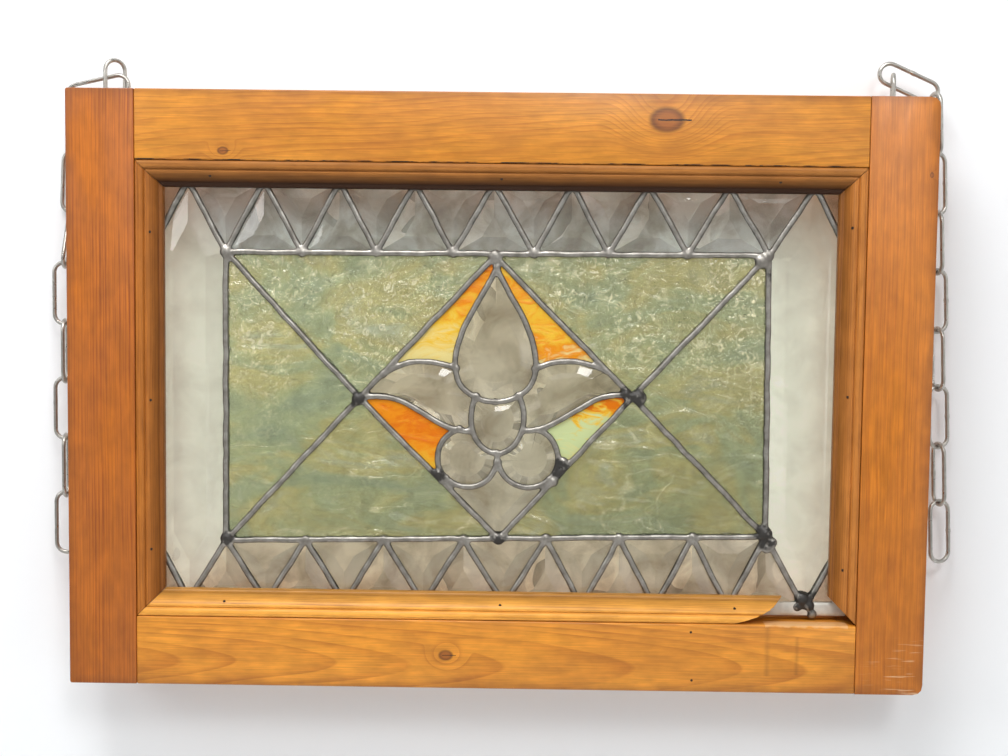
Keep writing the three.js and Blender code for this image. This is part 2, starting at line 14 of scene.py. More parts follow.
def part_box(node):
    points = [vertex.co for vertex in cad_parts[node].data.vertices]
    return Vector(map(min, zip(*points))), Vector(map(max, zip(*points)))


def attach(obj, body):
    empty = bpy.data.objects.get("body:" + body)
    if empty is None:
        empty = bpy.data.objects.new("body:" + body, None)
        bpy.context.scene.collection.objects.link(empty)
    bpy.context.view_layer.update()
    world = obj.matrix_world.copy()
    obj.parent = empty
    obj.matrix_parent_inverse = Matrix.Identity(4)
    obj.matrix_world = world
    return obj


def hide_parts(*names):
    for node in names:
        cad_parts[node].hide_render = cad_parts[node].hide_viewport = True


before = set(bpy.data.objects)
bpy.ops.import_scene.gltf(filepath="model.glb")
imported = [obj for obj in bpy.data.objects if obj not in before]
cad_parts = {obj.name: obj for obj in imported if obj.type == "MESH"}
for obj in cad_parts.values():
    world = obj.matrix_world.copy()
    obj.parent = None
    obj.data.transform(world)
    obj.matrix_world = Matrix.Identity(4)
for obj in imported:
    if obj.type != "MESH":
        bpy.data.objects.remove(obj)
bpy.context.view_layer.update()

bl_info = {
    "name": "Leaded Glass Window",
    "version": (1, 0, 0),
    "blender": (4, 5, 0),
    "location": "View3D > Sidebar > Window",
    "description": "Builds the finish of a small leaded glass window: boards, beads, lead, glass and chains",
    "category": "Object",
}

MM = 0.001

# The frame's own sizes, read from the solids it was made as.
STILE_LOW, STILE_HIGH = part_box("stile_right")
RAIL_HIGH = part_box("rail_top")[1]
BEAD_LOW, BEAD_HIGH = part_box("bead_top")
GLASS_LOW, GLASS_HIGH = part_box("green_left")
HALF_WIDTH = STILE_HIGH.x
FRONT = STILE_LOW.y
BACK = STILE_HIGH.y
HEIGHT = STILE_HIGH.z - STILE_LOW.z

# Where the beads sit: the opening between the boards.
GAP = 0.3 * MM
RAIL_FACE = 41 * MM
OPENING_X = RAIL_HIGH.x + GAP / 2
OPENING_TOP = -RAIL_FACE
OPENING_BOTTOM = RAIL_FACE - HEIGHT
BEAD_DEPTH = BEAD_HIGH.y - BEAD_LOW.y

# The leaded panel's field, between the middles of its edge cames.
FIELD_X = 206 * MM
FIELD_TOP = -52 * MM
FIELD_BOTTOM = -304 * MM
GLASS_BACK = GLASS_HIGH.y
GLASS_FRONT = GLASS_LOW.y


# ---- colours and nodes ----


def linear(code):
    """An sRGB hex colour as linear red, green and blue."""
    channels = [int(code[i:i + 2], 16) / 255 for i in (1, 3, 5)]
    return [c / 12.92 if c <= 0.04045 else ((c + 0.055) / 1.055) ** 2.4 for c in channels]


def put(tree, kind, sockets=None, stops=None, **settings):
    """Adds a node with its settings, and with its sockets' values or links."""
    made = tree.nodes.new(kind)
    for name, value in settings.items():
        setattr(made, name, value)
    for key, value in (sockets or {}).items():
        socket = made.inputs[key]
        if isinstance(value, bpy.types.NodeSocket):
            tree.links.new(value, socket)
        elif isinstance(value, (list, tuple)) and socket.type == "RGBA":
            socket.default_value = [*value, 1.0][:4]
        else:
            socket.default_value = value
    if stops:
        ramp = made.color_ramp
        while len(ramp.elements) < len(stops):
            ramp.elements.new(0.5)
        for element, (place, colour) in zip(ramp.elements, stops):
            element.position = place
            element.color = [*colour, 1.0] if isinstance(colour, (list, tuple)) else [colour] * 3 + [1.0]
    return made


def new_material(name):
    """A material with only a Principled shader, its tree, and object coordinates."""
    look = bpy.data.materials.new(name)
    look.use_nodes = True
    tree = look.node_tree
    tree.nodes.clear()
    shader = put(tree, "ShaderNodeBsdfPrincipled")
    put(tree, "ShaderNodeOutputMaterial", {"Surface": shader.outputs["BSDF"]})
    place = put(tree, "ShaderNodeTexCoord").outputs["Object"]
    return look, tree, shader, place


# ---- mesh helpers ----


def new_object(name, mesh):
    """Puts a mesh in the scene as an object at the origin."""
    made = bpy.data.objects.new(name, mesh)
    bpy.context.scene.collection.objects.link(made)
    return made


def mesh_of(name, points, faces, edges=()):
    """A mesh from points, edges and faces, its faces turned outwards."""
    mesh = bpy.data.meshes.new(name)
    mesh.from_pydata([tuple(p) for p in points], list(edges), faces)
    if faces:
        solid = bmesh.new()
        solid.from_mesh(mesh)
        bmesh.ops.remove_doubles(solid, verts=solid.verts, dist=1e-7)
        bmesh.ops.recalc_face_normals(solid, faces=solid.faces)
        solid.to_mesh(mesh)
        solid.free()
    mesh.update()
    return mesh


def ring_faces(first, second, count):
    """The faces that join two closed rings of points, given where each ring starts."""
    pairs = [(i, (i + 1) % count) for i in range(count)]
    return [(first + i, first + j, second + j, second + i) for i, j in pairs]


def settle(piece):
    """Turns a piece's live modifiers into its own plain mesh."""
    graph = bpy.context.evaluated_depsgraph_get()
    mesh = bpy.data.meshes.new_from_object(piece.evaluated_get(graph))
    piece.modifiers.clear()
    piece.data = mesh
    return piece


def soften(piece, angle):
    """Smooth shading that keeps edges sharper than an angle in degrees."""
    piece.data.shade_smooth()
    piece.data.set_sharp_from_angle(angle=math.radians(angle))


def merged_copy(node):
    """A closed copy of a CAD node's mesh, with its flat faces whole."""
    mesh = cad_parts[node].data.copy()
    mesh.materials.clear()
    solid = bmesh.new()
    solid.from_mesh(mesh)
    bmesh.ops.remove_doubles(solid, verts=solid.verts, dist=2e-6)
    bmesh.ops.dissolve_limit(solid, angle_limit=math.radians(1), verts=solid.verts, edges=solid.edges)
    solid.to_mesh(mesh)
    solid.free()
    return mesh


def finish_piece(piece, slot, *nodes):
    """Rides a finished piece on the window and hides the CAD nodes that it replaces."""
    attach(piece, "root")
    if nodes:
        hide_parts(*nodes)


def dress(node, look):
    """Gives a CAD node that stays a better material."""
    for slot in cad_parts[node].material_slots:
        slot.link = "OBJECT"
        slot.material = look


# ---- pine ----


# What a mark on a board needs: its tree, object coordinates, how far along and across the board a
# point lies, whether it is within the face's skin, and a fine speckle.
Board = namedtuple("Board", "tree place run wide skin speckle")


def dark_streaks(board, wood, streaks):
    """Old drips, each given as (x, width, low, high) in millimetres."""
    tree = board.tree
    for x, width, low, high in streaks:
        off = put(tree, "ShaderNodeMath", {0: board.run, 1: x * MM}, operation="SUBTRACT")
        off = put(tree, "ShaderNodeMath", {0: off.outputs[0]}, operation="ABSOLUTE").outputs[0]
        line = put(tree, "ShaderNodeMapRange", {"Value": off, "From Min": 0.0, "From Max": width * MM,
                                                "To Min": 0.5, "To Max": 0.0}).outputs[0]
        line = put(tree, "ShaderNodeMath", {0: line, 1: board.speckle}, operation="MULTIPLY").outputs[0]
        inside = put(tree, "ShaderNodeMath", {0: board.wide, 1: (low + high) / 2 * MM,
                                              2: (high - low) / 2 * MM}, operation="COMPARE").outputs[0]
        line = put(tree, "ShaderNodeMath", {0: line, 1: inside}, operation="MULTIPLY").outputs[0]
        line = put(tree, "ShaderNodeMath", {0: line, 1: board.skin}, operation="MULTIPLY").outputs[0]
        wood = put(tree, "ShaderNodeMix", {0: line, 6: wood, 7: linear("#4a2810")},
                   data_type="RGBA").outputs[2]
    return wood


def darkened_outer_edges(board, wood):
    """The frame's outer edges are darkened brown in a ragged band."""
    tree = board.tree
    xyz = put(tree, "ShaderNodeSeparateXYZ", {0: board.place})
    side = put(tree, "ShaderNodeMath", {0: xyz.outputs["X"]}, operation="ABSOLUTE").outputs[0]
    side = put(tree, "ShaderNodeMath", {0: HALF_WIDTH, 1: side}, operation="SUBTRACT").outputs[0]
    head = put(tree, "ShaderNodeMath", {0: xyz.outputs["Z"], 1: -1.0}, operation="MULTIPLY").outputs[0]
    foot = put(tree, "ShaderNodeMath", {0: HEIGHT, 1: xyz.outputs["Z"]}, operation="ADD").outputs[0]
    near = put(tree, "ShaderNodeMath", {0: side, 1: head}, operation="MINIMUM").outputs[0]
    near = put(tree, "ShaderNodeMath", {0: near, 1: foot}, operation="MINIMUM").outputs[0]
    ragged = put(tree, "ShaderNodeTexNoise", {"Vector": board.place, "Scale": 70.0, "Detail": 4.0}).outputs[0]
    near = put(tree, "ShaderNodeMath", {0: ragged, 1: -9 * MM, 2: near}, operation="MULTIPLY_ADD").outputs[0]
    brown = put(tree, "ShaderNodeMapRange", {"Value": near, "From Min": -4.5 * MM, "From Max": 1.5 * MM,
                                             "To Min": 0.4, "To Max": 0.0}).outputs[0]
    return put(tree, "ShaderNodeMix", {0: brown, 6: wood, 7: linear("#5e2f10")}, data_type="RGBA").outputs[2]


def painted_seam_shade(board, wood):
    """A dark broken line painted along the board's inner edge where it meets the bead: painted shade of an
    opened gap.
    """
    tree = board.tree
    low = put(tree, "ShaderNodeMath", {0: board.wide, 1: OPENING_TOP + 0.4 * MM, 2: 0.3 * MM},
              operation="COMPARE").outputs[0]
    gaps = put(tree, "ShaderNodeTexNoise", {"W": board.run, "Scale": 60.0, "Detail": 5.0},
               noise_dimensions="1D").outputs[0]
    gaps = put(tree, "ShaderNodeMapRange", {"Value": gaps, "From Min": 0.44, "From Max": 0.56}).outputs[0]
    gaps = put(tree, "ShaderNodeMath", {0: gaps, 1: low}, operation="MULTIPLY").outputs[0]
    gaps = put(tree, "ShaderNodeMath", {0: gaps, 1: board.skin}, operation="MULTIPLY").outputs[0]
    return put(tree, "ShaderNodeMix", {0: gaps, 6: wood, 7: linear("#140a05")}, data_type="RGBA").outputs[2]


def bare_ledge_painted_light(board, wood, bare):
    """Pale wood, never varnished, that the lost end of the bead once covered, with painted light as well that
    lifts the ledge out of its shade.
    """
    tree = board.tree
    left, right, low, high = (v * MM for v in bare)
    inside = put(tree, "ShaderNodeMath", {0: board.run, 1: (left + right) / 2, 2: (right - left) / 2},
                 operation="COMPARE").outputs[0]
    edge = put(tree, "ShaderNodeMath", {0: board.speckle, 1: 4 * MM, 2: board.wide},
               operation="MULTIPLY_ADD")
    shown = put(tree, "ShaderNodeMapRange", {"Value": edge.outputs[0], "From Min": low, "From Max": high,
                                             "To Max": 0.65}).outputs[0]
    shown = put(tree, "ShaderNodeMath", {0: shown, 1: inside}, operation="MULTIPLY").outputs[0]
    shown = put(tree, "ShaderNodeMath", {0: shown, 1: board.skin}, operation="MULTIPLY").outputs[0]
    return put(tree, "ShaderNodeMix", {0: shown, 6: wood, 7: linear("#e6b883")}, data_type="RGBA").outputs[2]


def worn_corner(board, wood, worn):
    """A scraped corner, given as (x, z, size): scratches show pale bruised wood."""
    tree = board.tree
    x, z, size = worn
    off = put(tree, "ShaderNodeVectorMath", {0: board.place, 1: (x * MM, FRONT, z * MM)},
              operation="DISTANCE")
    zone = put(tree, "ShaderNodeMapRange", {"Value": off.outputs["Value"], "From Min": size * 0.2 * MM,
                                            "From Max": size * MM, "To Min": 1.0, "To Max": 0.0}).outputs[0]
    slant = put(tree, "ShaderNodeMapping", {"Vector": board.place, "Rotation": (0.0, math.radians(52), 0.0),
                                            "Scale": (60.0, 300.0, 700.0)}).outputs[0]
    scratch = put(tree, "ShaderNodeTexNoise", {"Vector": slant, "Scale": 1.0, "Detail": 2.0}).outputs[0]
    scratch = put(tree, "ShaderNodeMapRange", {"Value": scratch, "From Min": 0.58,
                                               "From Max": 0.74}).outputs[0]
    scratch = put(tree, "ShaderNodeMath", {0: scratch, 1: zone}, operation="MULTIPLY").outputs[0]
    scratch = put(tree, "ShaderNodeMath", {0: scratch, 1: board.skin}, operation="MULTIPLY").outputs[0]
    return put(tree, "ShaderNodeMix", {0: scratch, 6: wood, 7: linear("#e6c39a")},
               data_type="RGBA").outputs[2]


def knot_heart(board, wood, near, spot, fibre, middle, size):
    """A knot's red brown heart and black rim, with a drying crack across it along the board."""
    tree = board.tree
    rim = put(tree, "ShaderNodeMapRange", {"Value": near, "From Min": size * 0.45 * MM,
                                           "From Max": size * 0.95 * MM}).outputs[0]
    tone = put(tree, "ShaderNodeMix", {0: rim, 6: linear("#94531f"), 7: linear("#42200c")},
               data_type="RGBA").outputs[2]
    whorl = put(tree, "ShaderNodeMath", {0: fibre, 1: 0.9, 2: 0.4}, operation="MULTIPLY_ADD").outputs[0]
    whorl = put(tree, "ShaderNodeMath", {0: whorl, 1: spot}, operation="MULTIPLY", use_clamp=True).outputs[0]
    wood = put(tree, "ShaderNodeMix", {0: whorl, 6: wood, 7: tone}, data_type="RGBA").outputs[2]
    across = put(tree, "ShaderNodeMath", {0: board.speckle, 1: 1.6 * MM, 2: board.wide},
                 operation="MULTIPLY_ADD").outputs[0]
    slit = put(tree, "ShaderNodeMath", {0: across, 1: middle[1] + 0.8 * MM, 2: size * 0.055 * MM},
               operation="COMPARE").outputs[0]
    reach = put(tree, "ShaderNodeMath", {0: board.run, 1: middle[0] + size * 0.6 * MM,
                                         2: size * 1.3 * MM}, operation="COMPARE").outputs[0]
    slit = put(tree, "ShaderNodeMath", {0: slit, 1: reach}, operation="MULTIPLY").outputs[0]
    return put(tree, "ShaderNodeMix", {0: slit, 6: wood, 7: linear("#1a0c05")}, data_type="RGBA").outputs[2]


def pine(name, along, early, late, pith, lean=0.0, ring=2.6, knots=(), seed=0.0, stain=0.5, rough=0.4,
         wander=4.0, streaks=(), dirt_and_shade=0.0, contrast=0.6, worn=None, edges=True, seam_shade=False,
         bare=None):
    """Varnished pine: growth rings cut through by the board, broken by knots and darkened by age; dirt and
    painted shade in hollows, painted shade in a seam, where asked.
    """
    look, tree, shader, place = new_material(name)
    xyz = put(tree, "ShaderNodeSeparateXYZ", {0: place})
    run = xyz.outputs["X" if along == "X" else "Z"]
    wide = xyz.outputs["Z" if along == "X" else "X"]
    deep = xyz.outputs["Y"]
    # The grain drifts by a few millimetres over a hand's length.
    slow = put(tree, "ShaderNodeCombineXYZ", {"X": run, "Y": wide, "Z": deep})
    slow = put(tree, "ShaderNodeVectorMath", {0: slow.outputs[0], 1: (9.0, 28.0, 28.0)}, operation="MULTIPLY")
    slow = put(tree, "ShaderNodeVectorMath", {0: slow.outputs[0], 1: (seed, seed * 2.3, 0.7 * seed)})
    drift = put(tree, "ShaderNodeTexNoise", {"Vector": slow.outputs[0], "Scale": 1.0, "Detail": 2.0,
                                             "Roughness": 0.4})
    drift = put(tree, "ShaderNodeMapRange", {"Value": drift.outputs[0], "To Min": -wander * MM,
                                             "To Max": wander * MM})
    sideways = put(tree, "ShaderNodeMath", {0: wide, 1: pith[0] * MM}, operation="SUBTRACT")
    sideways = put(tree, "ShaderNodeMath", {0: sideways.outputs[0], 1: drift.outputs[0]}, operation="ADD")
    inwards = put(tree, "ShaderNodeMath", {0: run, 1: lean, 2: -pith[1] * MM}, operation="MULTIPLY_ADD")
    inwards = put(tree, "ShaderNodeMath", {0: inwards.outputs[0], 1: deep}, operation="ADD")
    flat = put(tree, "ShaderNodeCombineXYZ", {"X": sideways.outputs[0], "Y": inwards.outputs[0]})
    radius = put(tree, "ShaderNodeVectorMath", {0: flat.outputs[0]}, operation="LENGTH").outputs["Value"]
    face = put(tree, "ShaderNodeCombineXYZ", {"X": run, "Y": wide}).outputs[0]
    hearts = []
    for x, z, size in knots:
        middle = (x * MM, z * MM) if along == "X" else (z * MM, x * MM)
        near = put(tree, "ShaderNodeVectorMath", {0: face, 1: (*middle, 0.0)}, operation="SUBTRACT")
        near = put(tree, "ShaderNodeVectorMath", {0: near.outputs[0], 1: (0.72, 1.0, 1.0)},
                   operation="MULTIPLY")
        near = put(tree, "ShaderNodeVectorMath", {0: near.outputs[0]}, operation="LENGTH").outputs["Value"]
        swell = put(tree, "ShaderNodeMapRange", {"Value": near, "From Min": 0.0, "From Max": size * 4.2 * MM,
                                                 "To Min": size * 2.1 * MM, "To Max": 0.0},
                    interpolation_type="SMOOTHERSTEP")
        radius = put(tree, "ShaderNodeMath", {0: radius, 1: swell.outputs[0]}, operation="ADD").outputs[0]
        spot = put(tree, "ShaderNodeMapRange", {"Value": near, "From Min": size * 0.75 * MM,
                                                "From Max": size * 1.15 * MM, "To Min": 1.0, "To Max": 0.0},
                   interpolation_type="SMOOTHSTEP").outputs[0]
        hearts.append((near, spot, middle, size))
    # Growth rings: a wide pale band that darkens to a narrow hard line and then stops.
    count = put(tree, "ShaderNodeMath", {0: radius, 1: 1 / (ring * MM)}, operation="MULTIPLY").outputs[0]
    uneven = put(tree, "ShaderNodeTexNoise", {"W": count, "Scale": 0.35, "Detail": 2.0},
                 noise_dimensions="1D").outputs[0]
    count = put(tree, "ShaderNodeMath", {0: uneven, 1: 2.2, 2: count}, operation="MULTIPLY_ADD").outputs[0]
    saw = put(tree, "ShaderNodeMath", {0: count}, operation="FRACT").outputs[0]
    band = put(tree, "ShaderNodeValToRGB", {0: saw}, stops=[(0.0, 0.0), (0.55, 0.18), (0.86, 0.85),
                                                           (0.94, 1.0), (1.0, 0.05)]).outputs[0]
    # Fibres under a millimetre apart, drawn out 26 mm along the board.
    fine = put(tree, "ShaderNodeCombineXYZ", {"X": run, "Y": wide, "Z": deep})
    fine = put(tree, "ShaderNodeVectorMath", {0: fine.outputs[0], 1: (38.0, 1150.0, 1150.0)},
               operation="MULTIPLY")
    fibre = put(tree, "ShaderNodeTexNoise", {"Vector": fine.outputs[0], "Scale": 1.0, "Detail": 3.0,
                                             "Roughness": 0.6}).outputs[0]
    strength = put(tree, "ShaderNodeTexNoise", {"Vector": slow.outputs[0], "Scale": 2.4, "Detail": 1.0})
    strength = put(tree, "ShaderNodeMapRange", {"Value": strength.outputs[0], "From Min": 0.3,
                                                "From Max": 0.7, "To Min": 0.4 * contrast,
                                                "To Max": 1.15 * contrast})
    band = put(tree, "ShaderNodeMath", {0: band, 1: strength.outputs[0]}, operation="MULTIPLY").outputs[0]
    wood = put(tree, "ShaderNodeMix", {0: band, 6: early, 7: late}, data_type="RGBA").outputs[2]
    # Broad figure, a finger wide, where the saw crossed the fibres.
    figure = put(tree, "ShaderNodeVectorMath", {0: slow.outputs[0], 1: (7.0, 5.0, 5.0)}, operation="MULTIPLY")
    figure = put(tree, "ShaderNodeTexNoise", {"Vector": figure.outputs[0], "Scale": 1.0, "Detail": 3.0})
    figure = put(tree, "ShaderNodeMapRange", {"Value": figure.outputs[0], "From Min": 0.35, "From Max": 0.65,
                                              "To Min": 0.88, "To Max": 1.1}).outputs[0]
    hairs = put(tree, "ShaderNodeMapRange", {"Value": fibre, "From Min": 0.32, "From Max": 0.68,
                                             "To Min": 0.84, "To Max": 1.11}).outputs[0]
    grey = put(tree, "ShaderNodeMath", {0: figure, 1: hairs}, operation="MULTIPLY").outputs[0]
    wood = put(tree, "ShaderNodeMix", {0: 1.0, 6: wood, 7: grey}, data_type="RGBA",
               blend_type="MULTIPLY").outputs[2]
    # Old varnish lies in soft, uneven patches.
    patch = put(tree, "ShaderNodeTexNoise", {"Vector": slow.outputs[0], "Scale": 1.6, "Detail": 4.0,
                                             "Roughness": 0.55, "Distortion": 0.4}).outputs[0]
    patch = put(tree, "ShaderNodeMapRange", {"Value": patch, "From Min": 0.35, "From Max": 0.75,
                                             "To Min": 0.0, "To Max": stain}).outputs[0]
    speckle = put(tree, "ShaderNodeTexNoise", {"Vector": place, "Scale": 160.0, "Detail": 3.0}).outputs[0]
    brown = [c * s for c, s in zip(late, (0.72, 0.66, 0.62))]
    wood = put(tree, "ShaderNodeMix", {0: patch, 6: wood, 7: brown}, data_type="RGBA").outputs[2]
    # Marks in the face's skin don't go through to the back.
    skin = put(tree, "ShaderNodeMath", {0: deep, 1: FRONT + 10 * MM}, operation="LESS_THAN").outputs[0]
    board = Board(tree, place, run, wide, skin, speckle)
    wood = dark_streaks(board, wood, streaks)
    if edges:
        wood = darkened_outer_edges(board, wood)
    if seam_shade:
        wood = painted_seam_shade(board, wood)
    if bare:
        wood = bare_ledge_painted_light(board, wood, bare)
    if worn:
        wood = worn_corner(board, wood, worn)
    if dirt_and_shade:
        # A moulding darkens with depth: dirt and old polish in its hollows, and painted shade there as well.
        hollow = put(tree, "ShaderNodeMapRange", {"Value": deep, "From Min": FRONT + 0.6 * MM,
                                                  "From Max": FRONT + 7.5 * MM, "To Min": 0.0,
                                                  "To Max": dirt_and_shade}).outputs[0]
        wood = put(tree, "ShaderNodeMix", {0: hollow, 6: wood, 7: linear("#2c1404")},
                   data_type="RGBA").outputs[2]
        # The varnish of these mouldings is duller too.
        shader.inputs["Specular IOR Level"].default_value = 0.3
    for near, spot, middle, size in hearts:
        wood = knot_heart(board, wood, near, spot, fibre, middle, size)
    tree.links.new(wood, shader.inputs["Base Color"])
    gloss = put(tree, "ShaderNodeMapRange", {"Value": patch, "From Min": 0.0, "From Max": max(stain, 0.01),
                                             "To Min": rough - 0.06, "To Max": rough + 0.14}).outputs[0]
    tree.links.new(gloss, shader.inputs["Roughness"])
    relief = put(tree, "ShaderNodeMath", {0: band, 1: 0.6, 2: fibre}, operation="MULTIPLY_ADD").outputs[0]
    bump = put(tree, "ShaderNodeBump", {"Height": relief, "Strength": 0.25, "Distance": 0.12 * MM})
    tree.links.new(bump.outputs[0], shader.inputs["Normal"])
    shader.inputs["IOR"].default_value = 1.48
    shader.inputs["Coat Weight"].default_value = 0.04 if dirt_and_shade else 0.12
    shader.inputs["Coat Roughness"].default_value = 0.22
    return look


def raw_pine():
    """Bare pine where a bead split away: paler and matt, with torn fibres."""
    look, tree, shader, place = new_material("bare torn pine")
    torn = put(tree, "ShaderNodeMapping", {"Vector": place, "Scale": (120.0, 900.0, 900.0)})
    fibre = put(tree, "ShaderNodeTexNoise", {"Vector": torn.outputs[0], "Scale": 1.0,
                                             "Detail": 3.0}).outputs[0]
    wood = put(tree, "ShaderNodeMix", {0: fibre, 6: linear("#b98552"), 7: linear("#ecc38e")},
               data_type="RGBA").outputs[2]
    tree.links.new(wood, shader.inputs["Base Color"])
    bump = put(tree, "ShaderNodeBump", {"Height": fibre, "Strength": 0.6, "Distance": 0.3 * MM})
    tree.links.new(bump.outputs[0], shader.inputs["Normal"])
    shader.inputs["Roughness"].default_value = 0.75
    return look


# ---- beads ----


def bead_section():
    """The moulding's section as (inward, depth) in metres, from its outer edge round to its back."""
    points = [(0.0, 1.1), (0.3, 0.45), (1.0, 0.08), (2.0, 0.0), (3.2, 0.05), (4.1, 0.4), (4.7, 1.1),
              (5.0, 1.9), (5.3, 1.9), (5.7, 1.35), (6.1, 1.25)]
    for i in range(1, 13):
        t = i / 12
        points.append((6.1 + 6.3 * t, 1.25 + 6.3 * (1 - math.cos(t * math.pi / 2)) ** 0.9))
    points += [(12.9, 7.6), (13.6, 7.65), (14.3, 8.0), (14.8, 8.7), (15.0, 9.6), (15.0, 12.4), (0.0, 12.4)]
    return [(a * MM, b * MM) for a, b in points]


def bead_depth(inward):
    """How deep the moulding's face lies, this far in from its outer edge."""
    section = bead_section()[:-2]
    for (a, da), (b, db) in zip(section, section[1:]):
        if a <= inward <= b and b > a:
            return da + (db - da) * (inward - a) / (b - a)
    return section[-1][1]


def bead_point(side, along, inward, depth):
    """A point of one side's bead: how far along it, in from its outer edge and behind the face."""
    y = FRONT + depth
    if side == "top":
        return Vector((along, y, OPENING_TOP - GAP - inward))
    if side == "bottom":
        return Vector((along, y, OPENING_BOTTOM + GAP + inward))
    middle = (OPENING_TOP + OPENING_BOTTOM) / 2
    if side == "left":
        return Vector((-OPENING_X + GAP + inward, y, middle + along))
    return Vector((OPENING_X - GAP - inward, y, middle + along))


def break_end(inward, depth):
    """Where the split bead's wood ends: a hollow sweep along the grain, sloping out to its back."""
    t = (max(inward, 0.0) / (16 * MM)) ** (1 / 1.3)
    sweep = 142 + 30 * t + 5 * math.sin(math.pi * t)
    splinter = noise.noise(Vector((inward * 1400, depth * 500, 3.1))) * 0.9
    return (sweep - 2.2 * (1 - depth / BEAD_DEPTH) + splinter) * MM


def bead_mesh(side, piece_name):
    """One mitred bead, with a little waviness along it and the bottom one broken off short."""
    section = bead_section()
    half = OPENING_X if side in ("top", "bottom") else (OPENING_TOP - OPENING_BOTTOM) / 2
    steps = int(2 * half / (6 * MM))
    points = []
    for step in range(steps + 1):
        share = step / steps
        for inward, depth in section:
            end = half - inward - 0.5 * MM
            last = break_end(inward, depth) if side == "bottom" else end
            along = -end + (last + end) * share
            visible = depth < 12 * MM
            wave = noise.noise(Vector((along * 18, inward * 90, len(side)))) * 0.12 * MM if visible else 0.0
            points.append(bead_point(side, along, inward, max(depth + wave, 0.0)))
    count = len(section)
    faces = []
    for step in range(steps):
        faces += ring_faces(step * count, (step + 1) * count, count)
    caps = tessellate_polygon([[Vector((p[0], p[1], 0.0)) for p in section]])
    faces += [tuple(face) for face in caps]
    last = steps * count
    broken = len(faces)
    faces += [tuple(last + i for i in face) for face in caps]
    mesh = bpy.data.meshes.new(piece_name)
    mesh.from_pydata([tuple(p) for p in points], [], faces)
    for face in mesh.polygons[broken:]:
        face.material_index = 1 if side == "bottom" else 0
    solid = bmesh.new()
    solid.from_mesh(mesh)
    bmesh.ops.recalc_face_normals(solid, faces=solid.faces)
    solid.to_mesh(mesh)
    solid.free()
    return mesh


# ---- lead lines ----

JOINTS = {
    "top_left": (-163, -94), "top_right": (159, -92.5),
    "bottom_left": (-163, -267), "bottom_right": (161, -260.5),
    "diamond_top": (-3, -94.5), "diamond_left": (-83, -180),
    "diamond_right": (80, -177.5), "diamond_bottom": (1, -264),
}
UPPER_POINTS = (-117.5, -73.5, -28, 20, 64, 111)
LOWER_POINTS = (-115, -68, -20, 29.5, 73.5, 117.5)
STRIP_TIP = 185.5
STRIP_SHOULDER = 39
TOP_EDGE = FIELD_TOP / MM
LOW_EDGE = FIELD_BOTTOM / MM


def on_line(a, b, x):
    """The point at x on the line from a to b."""
    return (x, a[1] + (b[1] - a[1]) * (x - a[0]) / (b[0] - a[0]))


def zigzag(left, right, points, edge):
    """The border's slanting leads between a came and the panel's edge."""
    inner = [left, *[on_line(left, right, x) for x in points], right]
    line = [(-STRIP_TIP, edge)]
    for i, joint in enumerate(inner):
        line.append(joint)
        if i + 1 < len(inner):
            line.append(((joint[0] + inner[i + 1][0]) / 2, edge))
    line.append((STRIP_TIP, edge))
    return [[a, b] for a, b in zip(line, line[1:])]


def ellipse_arc(x, z, wide, high, start, end, steps=36):
    """Points on an ellipse between two angles in degrees."""
    turns = [math.radians(start + (end - start) * i / steps) for i in range(steps + 1)]
    return [(x + wide * math.cos(t), z + high * math.sin(t)) for t in turns]


def petal_side(side, steps=32):
    """One side of the upper petal, pointed above and round below."""
    peak = math.sqrt(2.5 / 3.5)
    widest = peak ** 2.5 * math.sqrt(1 - peak ** 2)
    points = []
    for i in range(steps + 1):
        turn = math.pi * i / (2 * steps)
        reach = math.sin(turn) ** 2.5 * math.cos(turn) / widest
        points.append((-2 + side * 24.2 * reach, -101 - 80.5 * math.sin(turn) ** 2))
    return points


def smooth_bend(*handles, steps=16):
    """A Bezier curve of any degree through its first and last handles."""
    points = []
    for i in range(steps + 1):
        t = i / steps
        row = [Vector(h) for h in handles]
        while len(row) > 1:
            row = [a.lerp(b, t) for a, b in zip(row, row[1:])]
        points.append(tuple(row[0]))
    return points


def flower_lines():
    """The leads of the flower inside the diamond."""
    left, right, low = JOINTS["diamond_left"], JOINTS["diamond_right"], JOINTS["diamond_bottom"]
    return [
        petal_side(-1), petal_side(1),
        [(-2, -104), JOINTS["diamond_top"]],
        smooth_bend((-69, -165.6), (-50, -152.5), (-25.2, -161.5)),
        smooth_bend((63.8, -162), (42, -151.5), (21.2, -161.5)),
        smooth_bend(left, (-52, -173), (-42, -199.5), (-15.7, -199.2)),
        smooth_bend(right, (52, -171), (42, -198.5), (14.7, -198.5)),
        ellipse_arc(-0.5, -191, 16, 21.2, 143, 400),
        ellipse_arc(-18.2, -215, 17.9, 17.9, 106, 352),
        ellipse_arc(18.2, -215, 17.9, 17.9, 74, -172),
        [(-0.5, -212.2), (0, -219)],
        [(-30.9, -227.7), on_line(left, low, -33.4)],
        [(30.9, -227.7), on_line(right, low, 33)],
    ]


